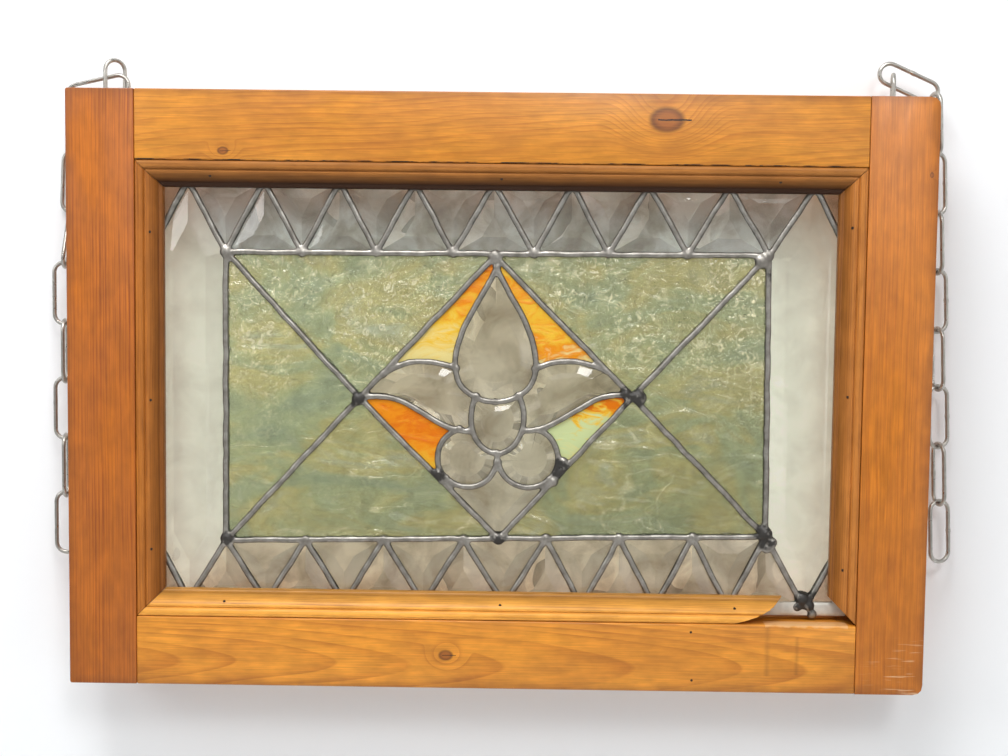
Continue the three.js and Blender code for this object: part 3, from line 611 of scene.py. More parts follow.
def lattice_lines():
    """Every lead line of the panel, in millimetres across and up."""
    j = JOINTS
    pairs = (
        ("top_left", "top_right"), ("bottom_left", "bottom_right"), ("top_left", "bottom_left"),
        ("top_right", "bottom_right"), ("top_left", "diamond_left"), ("bottom_left", "diamond_left"),
        ("top_right", "diamond_right"), ("bottom_right", "diamond_right"), ("diamond_top", "diamond_left"),
        ("diamond_top", "diamond_right"), ("diamond_bottom", "diamond_left"),
        ("diamond_bottom", "diamond_right"),
    )
    lines = [[j[a], j[b]] for a, b in pairs]
    edge = FIELD_X / MM
    for side in (-1, 1):
        lines.append([(side * STRIP_TIP, TOP_EDGE), (side * edge, TOP_EDGE - STRIP_SHOULDER)])
        lines.append([(side * STRIP_TIP, LOW_EDGE), (side * edge, LOW_EDGE + STRIP_SHOULDER)])
    lines += zigzag(j["top_left"], j["top_right"], UPPER_POINTS, TOP_EDGE)
    lines += zigzag(j["bottom_left"], j["bottom_right"], LOWER_POINTS, LOW_EDGE)
    return lines + flower_lines()


def blob_points():
    """Where solder is heaped: each joint with a radius in millimetres."""
    blobs = [(*place, 3.4) for place in JOINTS.values()]
    for left, right, points, edge in (
        (JOINTS["top_left"], JOINTS["top_right"], UPPER_POINTS, TOP_EDGE),
        (JOINTS["bottom_left"], JOINTS["bottom_right"], LOWER_POINTS, LOW_EDGE),
    ):
        inner = [left, *[on_line(left, right, x) for x in points], right]
        blobs += [(*place, 2.7) for place in inner]
        blobs += [((a[0] + b[0]) / 2, edge, 2.8) for a, b in zip(inner, inner[1:])]
    ends = [line[0] for line in flower_lines()] + [line[-1] for line in flower_lines()]
    blobs += [(*place, 2.4) for place in ends]
    # Heavier lumps of old repairs.
    blobs += [(84, -178, 4.2), (76, -176, 3.8), (161, -259, 4.2), (165, -264, 3.4), (158, -256, 2.8),
              (162, -268, 2.6), (184, -298, 4.2), (188, -302, 3.8), (181, -303, 2.8), (190, -307, 2.8),
              (39, -217, 3.2), (33, -229, 3.6), (-36, -225, 3.2), (1, -264, 4.4), (-163, -266, 4.2),
              (-84, -181, 4.0), (155, -96, 4.2), (-3, -95, 3.8)]
    return blobs


def solder_tree():
    """Geometry Nodes that run a lumpy bead of solder along each line and heap it at the joints."""
    tree = bpy.data.node_groups.new("Solder lines", "GeometryNodeTree")
    tree.is_modifier = True
    face = tree.interface
    face.new_socket("Geometry", in_out="INPUT", socket_type="NodeSocketGeometry")
    for name, value in (("Half width", 1.8 * MM), ("Step", 0.9 * MM), ("Lumpiness", 0.3),
                        ("Flatness", 0.6), ("Depth", 0.0)):
        made = face.new_socket(name, in_out="INPUT", socket_type="NodeSocketFloat")
        made.default_value = value
    face.new_socket("Joints", in_out="INPUT", socket_type="NodeSocketObject")
    face.new_socket("Seed", in_out="INPUT", socket_type="NodeSocketInt")
    face.new_socket("Material", in_out="INPUT", socket_type="NodeSocketMaterial")
    face.new_socket("Geometry", in_out="OUTPUT", socket_type="NodeSocketGeometry")
    given = put(tree, "NodeGroupInput").outputs
    lines = put(tree, "GeometryNodeMeshToCurve", {"Mesh": given["Geometry"]})
    lines = put(tree, "GeometryNodeResampleCurve", {"Curve": lines.outputs[0], "Length": given["Step"]},
                mode="LENGTH")
    place = put(tree, "GeometryNodeInputPosition").outputs[0]
    seed = put(tree, "ShaderNodeVectorMath", {0: place, 1: given["Seed"]}).outputs[0]
    lump = put(tree, "ShaderNodeTexNoise", {"Vector": seed, "Scale": 130.0, "Detail": 2.0}).outputs[0]
    lump = put(tree, "ShaderNodeMath", {0: lump, 1: 0.5}, operation="SUBTRACT").outputs[0]
    lump = put(tree, "ShaderNodeMath", {0: lump, 1: given["Lumpiness"]}, operation="MULTIPLY").outputs[0]
    lump = put(tree, "ShaderNodeMath", {0: lump, 1: 2.0, 2: 1.0}, operation="MULTIPLY_ADD").outputs[0]
    wobble = put(tree, "ShaderNodeTexNoise", {"Vector": seed, "Scale": 55.0, "Detail": 1.0}).outputs["Color"]
    wobble = put(tree, "ShaderNodeVectorMath", {0: wobble, 1: (0.5, 0.5, 0.5)}, operation="SUBTRACT")
    wobble = put(tree, "ShaderNodeVectorMath", {0: wobble.outputs[0], 1: (1.6 * MM, 0.0, 1.6 * MM)},
                 operation="MULTIPLY")
    lines = put(tree, "GeometryNodeSetPosition", {"Geometry": lines.outputs[0], "Offset": wobble.outputs[0]})
    lines = put(tree, "GeometryNodeSetCurveRadius", {"Curve": lines.outputs[0], "Radius": lump})
    ring = put(tree, "GeometryNodeCurvePrimitiveCircle", {"Resolution": 10, "Radius": given["Half width"]})
    tube = put(tree, "GeometryNodeCurveToMesh", {"Curve": lines.outputs[0], "Profile Curve": ring.outputs[0],
                                                 "Fill Caps": True})
    heaps = put(tree, "GeometryNodeObjectInfo", {"Object": given["Joints"]})
    ball = put(tree, "GeometryNodeMeshIcoSphere", {"Radius": 1.0, "Subdivisions": 3})
    size = put(tree, "GeometryNodeInputNamedAttribute", {"Name": "size"}, data_type="FLOAT").outputs[0]
    chance = put(tree, "FunctionNodeRandomValue", {2: 0.85, 3: 1.15, "Seed": given["Seed"]},
                 data_type="FLOAT").outputs[1]
    size = put(tree, "ShaderNodeMath", {0: size, 1: chance}, operation="MULTIPLY").outputs[0]
    balls = put(tree, "GeometryNodeInstanceOnPoints", {"Points": heaps.outputs["Geometry"],
                                                       "Instance": ball.outputs[0], "Scale": size})
    balls = put(tree, "GeometryNodeRealizeInstances", {0: balls.outputs[0]})
    joined = put(tree, "GeometryNodeJoinGeometry", {0: tube.outputs[0]})
    tree.links.new(balls.outputs[0], joined.inputs[0])
    squash = put(tree, "ShaderNodeSeparateXYZ", {0: place})
    pressed = put(tree, "ShaderNodeMath", {0: squash.outputs["Y"], 1: given["Flatness"], 2: given["Depth"]},
                  operation="MULTIPLY_ADD")
    spot = put(tree, "ShaderNodeCombineXYZ", {"X": squash.outputs["X"], "Y": pressed.outputs[0],
                                              "Z": squash.outputs["Z"]})
    flat = put(tree, "GeometryNodeSetPosition", {"Geometry": joined.outputs[0], "Position": spot.outputs[0]})
    real = put(tree, "GeometryNodeRealizeInstances", {0: flat.outputs[0]})
    painted = put(tree, "GeometryNodeSetMaterial", {"Geometry": real.outputs[0],
                                                    "Material": given["Material"]})
    put(tree, "NodeGroupOutput", {0: painted.outputs[0]})
    return tree


def give(modifier, values):
    """Sets a Geometry Nodes modifier's inputs by their sockets' identifiers."""
    for item in modifier.node_group.interface.items_tree:
        if item.item_type == "SOCKET" and item.in_out == "INPUT" and item.name in values:
            modifier[item.identifier] = values[item.name]


def solder_metal():
    """Grey tin and lead solder: soft metal with bright lumps, dark where it was burnt, and darkened on its
    flanks by old flux and painted shade.
    """
    look, tree, shader, place = new_material("old tin lead solder")
    cloud = put(tree, "ShaderNodeTexNoise", {"Vector": place, "Scale": 150.0, "Detail": 4.0,
                                             "Roughness": 0.6}).outputs[0]
    shade = put(tree, "ShaderNodeValToRGB", {0: cloud}, stops=[
        (0.3, linear("#7c7871")), (0.5, linear("#95918a")), (0.72, linear("#b2aea6"))]).outputs[0]
    # A line's flanks, turned away from the front, are darkened: old flux, and painted shade as well; its
    # crest keeps its full tone.
    crest = put(tree, "ShaderNodeSeparateXYZ", {0: put(tree, "ShaderNodeTexCoord").outputs["Normal"]})
    crest = put(tree, "ShaderNodeMath", {0: crest.outputs["Y"]}, operation="ABSOLUTE").outputs[0]
    crest = put(tree, "ShaderNodeMapRange", {"Value": crest, "From Min": 0.35, "From Max": 0.88,
                                             "To Min": 0.22, "To Max": 1.0}).outputs[0]
    shade = put(tree, "ShaderNodeMix", {0: 1.0, 6: shade, 7: crest}, data_type="RGBA",
                blend_type="MULTIPLY").outputs[2]
    # Burnt flux has blackened the joints that were mended.
    burnt = None
    for x, z, size in ((161, -260, 9), (186, -300, 10), (80, -177, 10), (37, -221, 8), (1, -264, 6),
                       (-163, -266, 6), (-36, -225, 6), (-84, -181, 6), (163, -104, 6)):
        off = put(tree, "ShaderNodeVectorMath", {0: place, 1: (x * MM, 0.0, z * MM)}, operation="DISTANCE")
        spot = put(tree, "ShaderNodeMapRange", {"Value": off.outputs["Value"], "From Min": size * 0.5 * MM,
                                                "From Max": size * 1.4 * MM, "To Min": 1.0, "To Max": 0.0})
        if burnt is None:
            burnt = spot.outputs[0]
        else:
            burnt = put(tree, "ShaderNodeMath", {0: burnt, 1: spot.outputs[0]},
                        operation="MAXIMUM").outputs[0]
    rag = put(tree, "ShaderNodeTexNoise", {"Vector": place, "Scale": 260.0, "Detail": 3.0}).outputs[0]
    burnt = put(tree, "ShaderNodeMath", {0: burnt, 1: rag, 2: 0.0}, operation="MULTIPLY_ADD").outputs[0]
    burnt = put(tree, "ShaderNodeMapRange", {"Value": burnt, "From Min": 0.25, "From Max": 0.42,
                                             "To Min": 0.0, "To Max": 0.92}).outputs[0]
    shade = put(tree, "ShaderNodeMix", {0: burnt, 6: shade, 7: linear("#1d1a18")},
                data_type="RGBA").outputs[2]
    tree.links.new(shade, shader.inputs["Base Color"])
    metal = put(tree, "ShaderNodeMapRange", {"Value": burnt, "From Min": 0.0, "From Max": 1.0,
                                             "To Min": 0.85, "To Max": 0.25}).outputs[0]
    tree.links.new(metal, shader.inputs["Metallic"])
    rough = put(tree, "ShaderNodeMapRange", {"Value": cloud, "From Min": 0.3, "From Max": 0.7,
                                             "To Min": 0.5, "To Max": 0.3}).outputs[0]
    tree.links.new(rough, shader.inputs["Roughness"])
    fine = put(tree, "ShaderNodeTexNoise", {"Vector": place, "Scale": 700.0, "Detail": 3.0}).outputs[0]
    bump = put(tree, "ShaderNodeBump", {"Height": fine, "Strength": 0.35, "Distance": 0.15 * MM})
    tree.links.new(bump.outputs[0], shader.inputs["Normal"])
    return look


def came_lead():
    """Soft sheet lead of the edge cames: pale, dull and pressed flat."""
    look, tree, shader, place = new_material("dull sheet lead")
    cloud = put(tree, "ShaderNodeTexNoise", {"Vector": place, "Scale": 140.0, "Detail": 3.0}).outputs[0]
    shade = put(tree, "ShaderNodeMix", {0: cloud, 6: linear("#a8a298"), 7: linear("#e0dcd2")},
                data_type="RGBA").outputs[2]
    tree.links.new(shade, shader.inputs["Base Color"])
    bump = put(tree, "ShaderNodeBump", {"Height": cloud, "Strength": 0.5, "Distance": 0.6 * MM})
    tree.links.new(bump.outputs[0], shader.inputs["Normal"])
    shader.inputs["Metallic"].default_value = 0.35
    shader.inputs["Roughness"].default_value = 0.5
    return look


def line_mesh(name, lines):
    """Lead lines as a mesh of plain edges in the panel's plane."""
    points = []
    edges = []
    for line in lines:
        start = len(points)
        points += [(x * MM, 0.0, z * MM) for x, z in line]
        edges += [(start + i, start + i + 1) for i in range(len(line) - 1)]
    return mesh_of(name, points, [], edges)


def joint_mesh(name, blobs):
    """Points for the solder heaps, each with its size."""
    mesh = mesh_of(name, [(x * MM, 0.0, z * MM) for x, z, _ in blobs], [])
    sizes = mesh.attributes.new("size", "FLOAT", "POINT")
    for i, blob in enumerate(blobs):
        sizes.data[i].value = blob[2] * MM
    return mesh


def melt(piece, voxel, rounds):
    """Runs a piece's tubes and heaps together as molten metal would, and smooths them."""
    piece.modifiers.new("Fuse", "REMESH").voxel_size = voxel
    smooth = piece.modifiers.new("Flow", "SMOOTH")
    smooth.iterations = rounds
    smooth.factor = 0.5
    settle(piece)


def edge_came(name):
    """The flat lead came round the panel's edge: a rectangle of rounded strip."""
    section = [(-4.0, 0.9), (-4.0, 0.3), (-3.7, -0.1), (-2.0, -0.3), (0.0, -0.35), (2.0, -0.3), (3.7, -0.1),
               (4.0, 0.3), (4.0, 4.2), (3.7, 4.6), (-3.7, 4.6), (-4.0, 4.2), (-4.0, 3.1), (3.2, 3.1),
               (3.2, 0.9)]
    corners = [(-1, 1), (1, 1), (1, -1), (-1, -1)]
    middle = (FIELD_TOP + FIELD_BOTTOM) / 2
    tall = (FIELD_TOP - FIELD_BOTTOM) / 2
    points = []
    stations = []
    for k, (a, b) in enumerate(corners):
        c, d = corners[(k + 1) % 4]
        steps = 60 if k % 2 == 0 else 36
        stations += [(a + (c - a) * i / steps, b + (d - b) * i / steps) for i in range(steps)]
    for sx, sz in stations:
        for out, depth in section:
            bump = noise.noise(Vector((sx * 40, sz * 30, out))) * 0.25 if depth < 0.5 else 0.0
            # At a corner both strips share a mitre, so the strip is scaled about the middle.
            x = sx * FIELD_X + (out * MM if abs(sx) > 0.999 else 0.0) * math.copysign(1, sx)
            z = sz * tall + (out * MM if abs(sz) > 0.999 else 0.0) * math.copysign(1, sz)
            points.append((x, (depth - 0.9 + bump) * MM, middle + z))
    count = len(section)
    faces = []
    for s in range(len(stations)):
        faces += ring_faces(s * count, (s + 1) % len(stations) * count, count)
    return mesh_of(name, points, faces)


# ---- glass ----


def clear_plate(name, body, hazy_and_shaded, film_and_flash):
    """Old clear plate glass, see-through by its shader alone, with ground and polished bevels."""
    look, tree, shader, place = new_material(name)
    facing = put(tree, "ShaderNodeTexCoord").outputs["Normal"]
    parts = put(tree, "ShaderNodeSeparateXYZ", {0: facing})
    flat = put(tree, "ShaderNodeMath", {0: parts.outputs["Y"]}, operation="ABSOLUTE").outputs[0]
    ground = put(tree, "ShaderNodeMapRange", {"Value": flat, "From Min": 0.955, "From Max": 0.992,
                                              "To Min": 1.0, "To Max": 0.0}).outputs[0]
    # Ground bevels take a grey tint: the dull bloom of grinding, and painted shade by the way each faces,
    # most on those that face down and to the right.
    down = put(tree, "ShaderNodeMapRange", {"Value": parts.outputs["Z"], "From Min": -0.25, "From Max": 0.28,
                                            "To Min": 0.75, "To Max": 0.12}).outputs[0]
    sideways = put(tree, "ShaderNodeMath", {0: parts.outputs["X"], 1: 0.9, 2: down},
                   operation="MULTIPLY_ADD").outputs[0]
    haze_and_shade = put(tree, "ShaderNodeMath", {0: ground, 1: sideways}, operation="MULTIPLY",
               use_clamp=True).outputs[0]
    tint = put(tree, "ShaderNodeMix", {0: haze_and_shade, 6: body, 7: hazy_and_shaded}, data_type="RGBA").outputs[2]
    # A brown film of dust lies in clouds a finger wide.
    film = put(tree, "ShaderNodeTexNoise", {"Vector": place, "Scale": 42.0, "Detail": 5.0, "Roughness": 0.62,
                                            "Distortion": 0.5}).outputs[0]
    film = put(tree, "ShaderNodeMapRange", {"Value": film, "From Min": 0.4, "From Max": 0.7, "To Min": 0.0,
                                            "To Max": 0.8 * film_and_flash}).outputs[0]
    tint = put(tree, "ShaderNodeMix", {0: film, 6: tint, 7: linear("#7d7058")}, data_type="RGBA").outputs[2]
    # Each way that a bevel faces gets its own patch of painted highlight and painted shade, standing in for
    # its reflections and refraction, so a curved bevel shows in short segments.
    stepped = put(tree, "ShaderNodeVectorMath", {0: facing, 1: (0.013, 0.013, 0.013)}).outputs[0]
    stepped = put(tree, "ShaderNodeVectorMath", {0: stepped, 1: (0.11, 0.9, 0.11)},
                  operation="SNAP").outputs[0]
    chance = put(tree, "ShaderNodeTexWhiteNoise", {"Vector": stepped}, noise_dimensions="3D").outputs["Value"]
    spread = put(tree, "ShaderNodeTexNoise", {"Vector": place, "Scale": 34.0, "Detail": 1.0}).outputs[0]
    chance = put(tree, "ShaderNodeMath", {0: spread, 1: 1.1, 2: chance}, operation="MULTIPLY_ADD").outputs[0]
    chance = put(tree, "ShaderNodeMath", {0: chance}, operation="FRACT").outputs[0]
    splinter = put(tree, "ShaderNodeValToRGB", {0: chance}, stops=[
        (0.0, 1 - 0.55 * film_and_flash), (0.12, 1 - 0.45 * film_and_flash), (0.15, 1 - 0.15 * film_and_flash), (0.56, 1.0),
        (0.6, 1 + 0.2 * film_and_flash), (0.86, 1 + 0.3 * film_and_flash), (0.88, 1 + 0.9 * film_and_flash),
        (1.0, 1 + film_and_flash)]).outputs[0]
    broken = put(tree, "ShaderNodeMix", {0: 1.0, 6: tint, 7: splinter}, data_type="RGBA",
                 blend_type="MULTIPLY").outputs[2]
    tint = put(tree, "ShaderNodeMix", {0: ground, 6: tint, 7: broken}, data_type="RGBA",
               clamp_result=True).outputs[2]
    tree.links.new(tint, shader.inputs["Base Color"])
    shader.inputs["Transmission Weight"].default_value = 1.0
    shader.inputs["Roughness"].default_value = 0.02
    shader.inputs["IOR"].default_value = 1.52
    wear = put(tree, "ShaderNodeTexNoise", {"Vector": place, "Scale": 60.0, "Detail": 2.0}).outputs[0]
    bump = put(tree, "ShaderNodeBump", {"Height": wear, "Strength": 0.2, "Distance": 0.6 * MM})
    tree.links.new(bump.outputs[0], shader.inputs["Normal"])
    return look


def green_art_glass():
    """Rolled green art glass: wisps of yellow and blue green, long ripples, and a hammered surface with
    painted sparkle.
    """
    look, tree, shader, place = new_material("wispy rippled green glass")
    drawn = put(tree, "ShaderNodeMapping", {"Vector": place, "Scale": (14.0, 14.0, 26.0),
                                            "Rotation": (0.0, math.radians(12), 0.0)}).outputs[0]
    wisp = put(tree, "ShaderNodeTexNoise", {"Vector": drawn, "Scale": 1.0, "Detail": 5.0, "Roughness": 0.6,
                                            "Distortion": 1.2}).outputs[0]
    tint = put(tree, "ShaderNodeValToRGB", {0: wisp}, stops=[
        (0.3, linear("#adba9f")), (0.45, linear("#bac39b")), (0.56, linear("#cbc58d")),
        (0.72, linear("#c3cbae"))]).outputs[0]
    mottle = put(tree, "ShaderNodeTexNoise", {"Vector": place, "Scale": 95.0, "Detail": 5.0,
                                              "Roughness": 0.66, "Distortion": 0.8}).outputs[0]
    mottle = put(tree, "ShaderNodeMapRange", {"Value": mottle, "From Min": 0.34, "From Max": 0.66,
                                              "To Min": 0.84, "To Max": 1.14}).outputs[0]
    tint = put(tree, "ShaderNodeMix", {0: 1.0, 6: tint, 7: mottle}, data_type="RGBA",
               blend_type="MULTIPLY").outputs[2]
    # The glass is darkened towards the lower right.
    spot = put(tree, "ShaderNodeSeparateXYZ", {0: place})
    lower_right_darkening = put(tree, "ShaderNodeMath", {0: spot.outputs["X"], 1: -0.45, 2: spot.outputs["Z"]},
                operation="MULTIPLY_ADD").outputs[0]
    lower_right_darkening = put(tree, "ShaderNodeMapRange", {"Value": lower_right_darkening, "From Min": -0.31, "From Max": -0.05,
                                             "To Min": 0.72, "To Max": 1.0}).outputs[0]
    tint = put(tree, "ShaderNodeMix", {0: 1.0, 6: tint, 7: lower_right_darkening}, data_type="RGBA",
               blend_type="MULTIPLY").outputs[2]
    # The upper half of the sheet is hammered, and the lower half nearly smooth.
    up = put(tree, "ShaderNodeMapRange", {"Value": spot.outputs["Z"], "From Min": -0.21, "From Max": -0.13,
                                          "To Min": 0.12, "To Max": 1.0}).outputs[0]
    small = put(tree, "ShaderNodeTexNoise", {"Vector": place, "Scale": 210.0, "Detail": 2.0,
                                             "Distortion": 1.6}).outputs[0]
    group = put(tree, "ShaderNodeTexNoise", {"Vector": place, "Scale": 24.0, "Detail": 2.0}).outputs[0]
    group = put(tree, "ShaderNodeMapRange", {"Value": group, "From Min": 0.38, "From Max": 0.56}).outputs[0]
    group = put(tree, "ShaderNodeMath", {0: group, 1: up}, operation="MULTIPLY").outputs[0]
    # The hammered crests are picked out as pale spots: painted sparkle highlights.
    crest = put(tree, "ShaderNodeMapRange", {"Value": small, "From Min": 0.57, "From Max": 0.63}).outputs[0]
    crest = put(tree, "ShaderNodeMath", {0: crest, 1: group}, operation="MULTIPLY").outputs[0]
    # A few long pale creases wander across the sheet: thin glass, and painted highlights along them.
    wide = put(tree, "ShaderNodeMapping", {"Vector": place, "Scale": (8.0, 20.0, 24.0),
                                           "Rotation": (0.0, math.radians(14), 0.0)}).outputs[0]
    crease = put(tree, "ShaderNodeTexNoise", {"Vector": wide, "Scale": 1.0, "Detail": 3.0, "Distortion": 1.2})
    crease = put(tree, "ShaderNodeMath", {0: crease.outputs[0], 1: 0.47}, operation="SUBTRACT").outputs[0]
    crease = put(tree, "ShaderNodeMath", {0: crease}, operation="ABSOLUTE").outputs[0]
    crease = put(tree, "ShaderNodeMapRange", {"Value": crease, "From Min": 0.0, "From Max": 0.011,
                                              "To Min": 0.6, "To Max": 0.0},
                 interpolation_type="SMOOTHSTEP").outputs[0]
    fades = put(tree, "ShaderNodeMapRange", {"Value": mottle, "From Min": 0.9, "From Max": 1.1}).outputs[0]
    crease = put(tree, "ShaderNodeMath", {0: crease, 1: fades}, operation="MULTIPLY").outputs[0]
    # Sparkles and creases are mixed towards pale cream: painted highlights, with thin glass along the
    # creases.
    pale = put(tree, "ShaderNodeMath", {0: crest, 1: 1.0, 2: crease}, operation="MULTIPLY_ADD",
               use_clamp=True).outputs[0]
    tint = put(tree, "ShaderNodeMix", {0: pale, 6: tint, 7: linear("#faf5d6")}, data_type="RGBA").outputs[2]
    tree.links.new(tint, shader.inputs["Base Color"])
    cloud = put(tree, "ShaderNodeMapRange", {"Value": wisp, "From Min": 0.35, "From Max": 0.7,
                                             "To Min": 0.86, "To Max": 0.62}).outputs[0]
    tree.links.new(cloud, shader.inputs["Transmission Weight"])
    long = put(tree, "ShaderNodeMapping", {"Vector": place, "Scale": (24.0, 40.0, 44.0),
                                           "Rotation": (0.0, math.radians(-9), 0.0)}).outputs[0]
    ripple = put(tree, "ShaderNodeTexNoise", {"Vector": long, "Scale": 1.0, "Detail": 1.0,
                                              "Distortion": 1.8}).outputs[0]
    small = put(tree, "ShaderNodeMath", {0: small, 1: up}, operation="MULTIPLY").outputs[0]
    height = put(tree, "ShaderNodeMath", {0: ripple, 1: 1.6, 2: small}, operation="MULTIPLY_ADD").outputs[0]
    height = put(tree, "ShaderNodeMath", {0: crease, 1: 0.25, 2: height}, operation="MULTIPLY_ADD").outputs[0]
    bump = put(tree, "ShaderNodeBump", {"Height": height, "Strength": 0.9, "Distance": 1.7 * MM})
    tree.links.new(bump.outputs[0], shader.inputs["Normal"])
    shader.inputs["Roughness"].default_value = 0.07
    shader.inputs["IOR"].default_value = 1.52
    return look


def amber_art_glass(name, low, high, stops, turn, seed):
    """Opalescent glass pulled in streaks of orange, amber and cream, shading from end to end."""
    look, tree, shader, place = new_material(name)
    xyz = put(tree, "ShaderNodeSeparateXYZ", {0: place})
    rise = put(tree, "ShaderNodeMapRange", {"Value": xyz.outputs["Z"], "From Min": low * MM,
                                            "From Max": high * MM}).outputs[0]
    pulled = put(tree, "ShaderNodeMapping", {"Vector": place, "Location": (seed, 0.0, seed),
                                             "Rotation": (0.0, math.radians(turn), 0.0),
                                             "Scale": (60.0, 90.0, 130.0)}).outputs[0]
    streak = put(tree, "ShaderNodeTexNoise", {"Vector": pulled, "Scale": 1.0, "Detail": 4.0, "Roughness": 0.6,
                                              "Distortion": 1.6}).outputs[0]
    lean = put(tree, "ShaderNodeMapRange", {"Value": streak, "From Min": 0.3, "From Max": 0.7,
                                            "To Min": -0.24, "To Max": 0.24}).outputs[0]
    mixed = put(tree, "ShaderNodeMath", {0: rise, 1: lean}, operation="ADD").outputs[0]
    tint = put(tree, "ShaderNodeValToRGB", {0: mixed}, stops=stops).outputs[0]
    tree.links.new(tint, shader.inputs["Base Color"])
    bump = put(tree, "ShaderNodeBump", {"Height": streak, "Strength": 0.4, "Distance": 0.8 * MM})
    tree.links.new(bump.outputs[0], shader.inputs["Normal"])
    shader.inputs["Transmission Weight"].default_value = 0.3
    shader.inputs["Roughness"].default_value = 0.12
    shader.inputs["IOR"].default_value = 1.52
    return look


def outline_of(node):
    """A pane's outline, read from the back face of its solid, anticlockwise seen from the front."""
    solid = bmesh.new()
    solid.from_mesh(merged_copy(node))
    back = max(solid.faces, key=lambda f: f.calc_center_median().y if f.normal.y > 0.9 else -1.0)
    points = [Vector((v.co.x, v.co.z)) for v in back.verts]
    solid.free()
    area = sum(a.cross(b) for a, b in zip(points, points[1:] + points[:1]))
    return points if area > 0 else points[::-1]


def rounded(points, spacing, corner=38):
    """The outline with its shallow bends drawn as curves and its real corners kept."""
    count = len(points)
    tangents = []
    for i, point in enumerate(points):
        before = (point - points[i - 1]).normalized()
        after = (points[(i + 1) % count] - point).normalized()
        sharp = before.angle(after) > math.radians(corner)
        tangents.append(None if sharp else (before + after).normalized())
    made = []
    for i, start in enumerate(points):
        end = points[(i + 1) % count]
        span = (end - start).length
        chord = (end - start).normalized()
        lead_in = tangents[i] or chord
        lead_out = tangents[(i + 1) % count] or chord
        steps = max(1, round(span / spacing))
        for k in range(steps):
            t = k / steps
            a = start.lerp(start + lead_in * span / 3, t)
            b = (start + lead_in * span / 3).lerp(end - lead_out * span / 3, t)
            c = (end - lead_out * span / 3).lerp(end, t)
            made.append(a.lerp(b, t).lerp(b.lerp(c, t), t))
    return made


def bevelled_pane(node, heart, keep, rise):
    """A cut piece: a thin edge, a flat ground bevel, and a polished face that is slightly crowned."""
    outline = rounded(outline_of(node), 1.4 * MM)
    heart = Vector((heart[0] * MM, heart[1] * MM))
    rings = [(1.0, GLASS_BACK), (1.0, 0.9 * MM), (keep, -rise), (keep * 0.93, -rise - 0.12 * MM),
             (keep * 0.55, -rise - 0.3 * MM)]
    points = []
    for share, y in rings:
        points += [(*heart.lerp(p, share).to_tuple(), y) for p in outline]
    points = [(x, y, z) for x, z, y in points]
    count = len(outline)
    points.append((heart.x, -rise - 0.36 * MM, heart.y))
    faces = []
    for ring in range(len(rings) - 1):
        faces += ring_faces(ring * count, (ring + 1) * count, count)
    last = (len(rings) - 1) * count
    faces += [(last + i, last + (i + 1) % count, len(points) - 1) for i in range(count)]
    faces += [tuple(face) for face in tessellate_polygon([[Vector((p.x, p.y, 0.0)) for p in outline]])]
    return mesh_of(f"{node}_cut", points, faces)


def wedge_pane(node):
    """The hooked piece under the flower, bevelled along its two long lower edges only."""
    outline = rounded(outline_of(node), 1.4 * MM)
    points = [(p.x, GLASS_BACK, p.y) for p in outline] + [(p.x, -0.9 * MM, p.y) for p in outline]
    count = len(outline)
    faces = ring_faces(0, count, count)
    cap = tessellate_polygon([[Vector((p.x, p.y, 0.0)) for p in outline]])
    faces += [tuple(face) for face in cap] + [tuple(count + i for i in face) for face in cap]
    mesh = mesh_of(f"{node}_cut", points, faces)
    solid = bmesh.new()
    solid.from_mesh(mesh)
    low = Vector(JOINTS["diamond_bottom"]) * MM
    sides = []
    for name in ("diamond_left", "diamond_right"):
        along = (Vector(JOINTS[name]) * MM - low).normalized()
        inward = Vector((-along.y, along.x))
        if inward.y < 0:
            inward = -inward
        sides.append(inward)
    width = 8 * MM
    cuts = [(low + side * width, side) for side in sides] + [(low, Vector((1.0, 0.0)))]
    for place, normal in cuts:
        bmesh.ops.bisect_plane(solid, geom=[*solid.verts, *solid.edges, *solid.faces], dist=1e-7,
                               plane_co=(place.x, 0.0, place.y), plane_no=(normal.x, 0.0, normal.y))
    for vert in solid.verts:
        if vert.co.y < 0:
            flat = Vector((vert.co.x, vert.co.z)) - low
            beyond = max(width - flat.dot(side) for side in sides)
            vert.co.y += max(0.0, beyond) * 0.26
    bmesh.ops.recalc_face_normals(solid, faces=solid.faces)
    solid.to_mesh(mesh)
    solid.free()
    return mesh


# ---- chains ----

LINK_LENGTH = 40.4
LINK_WIDTH = 15.0
WIRE = 2.6
WIRE_SIDES = 12
PITCH = LINK_LENGTH - 2 * WIRE + 0.15
LINK_RADIUS = (LINK_WIDTH - WIRE) / 2
CHAIN_Y = 26.0
EYE_RADIUS = 5.3
EYE_WIRE = 2.4
CHAINS = {
    "chain_left": {"side": -1, "upright": (-234.7, 2.0, 37.0), "lying": (-245.5, 3.0, 13.0),
                   "end": (-267.0, -279.4), "hanging": 8, "plumb": 5, "twist": 4.0},
    "chain_right": {"side": 1, "upright": (234.6, -2.0, 80.0), "lying": (245.0, 12.6, -24.0),
                    "end": (273.0, -277.9), "hanging": 8, "plumb": 0, "twist": 16.0},
}


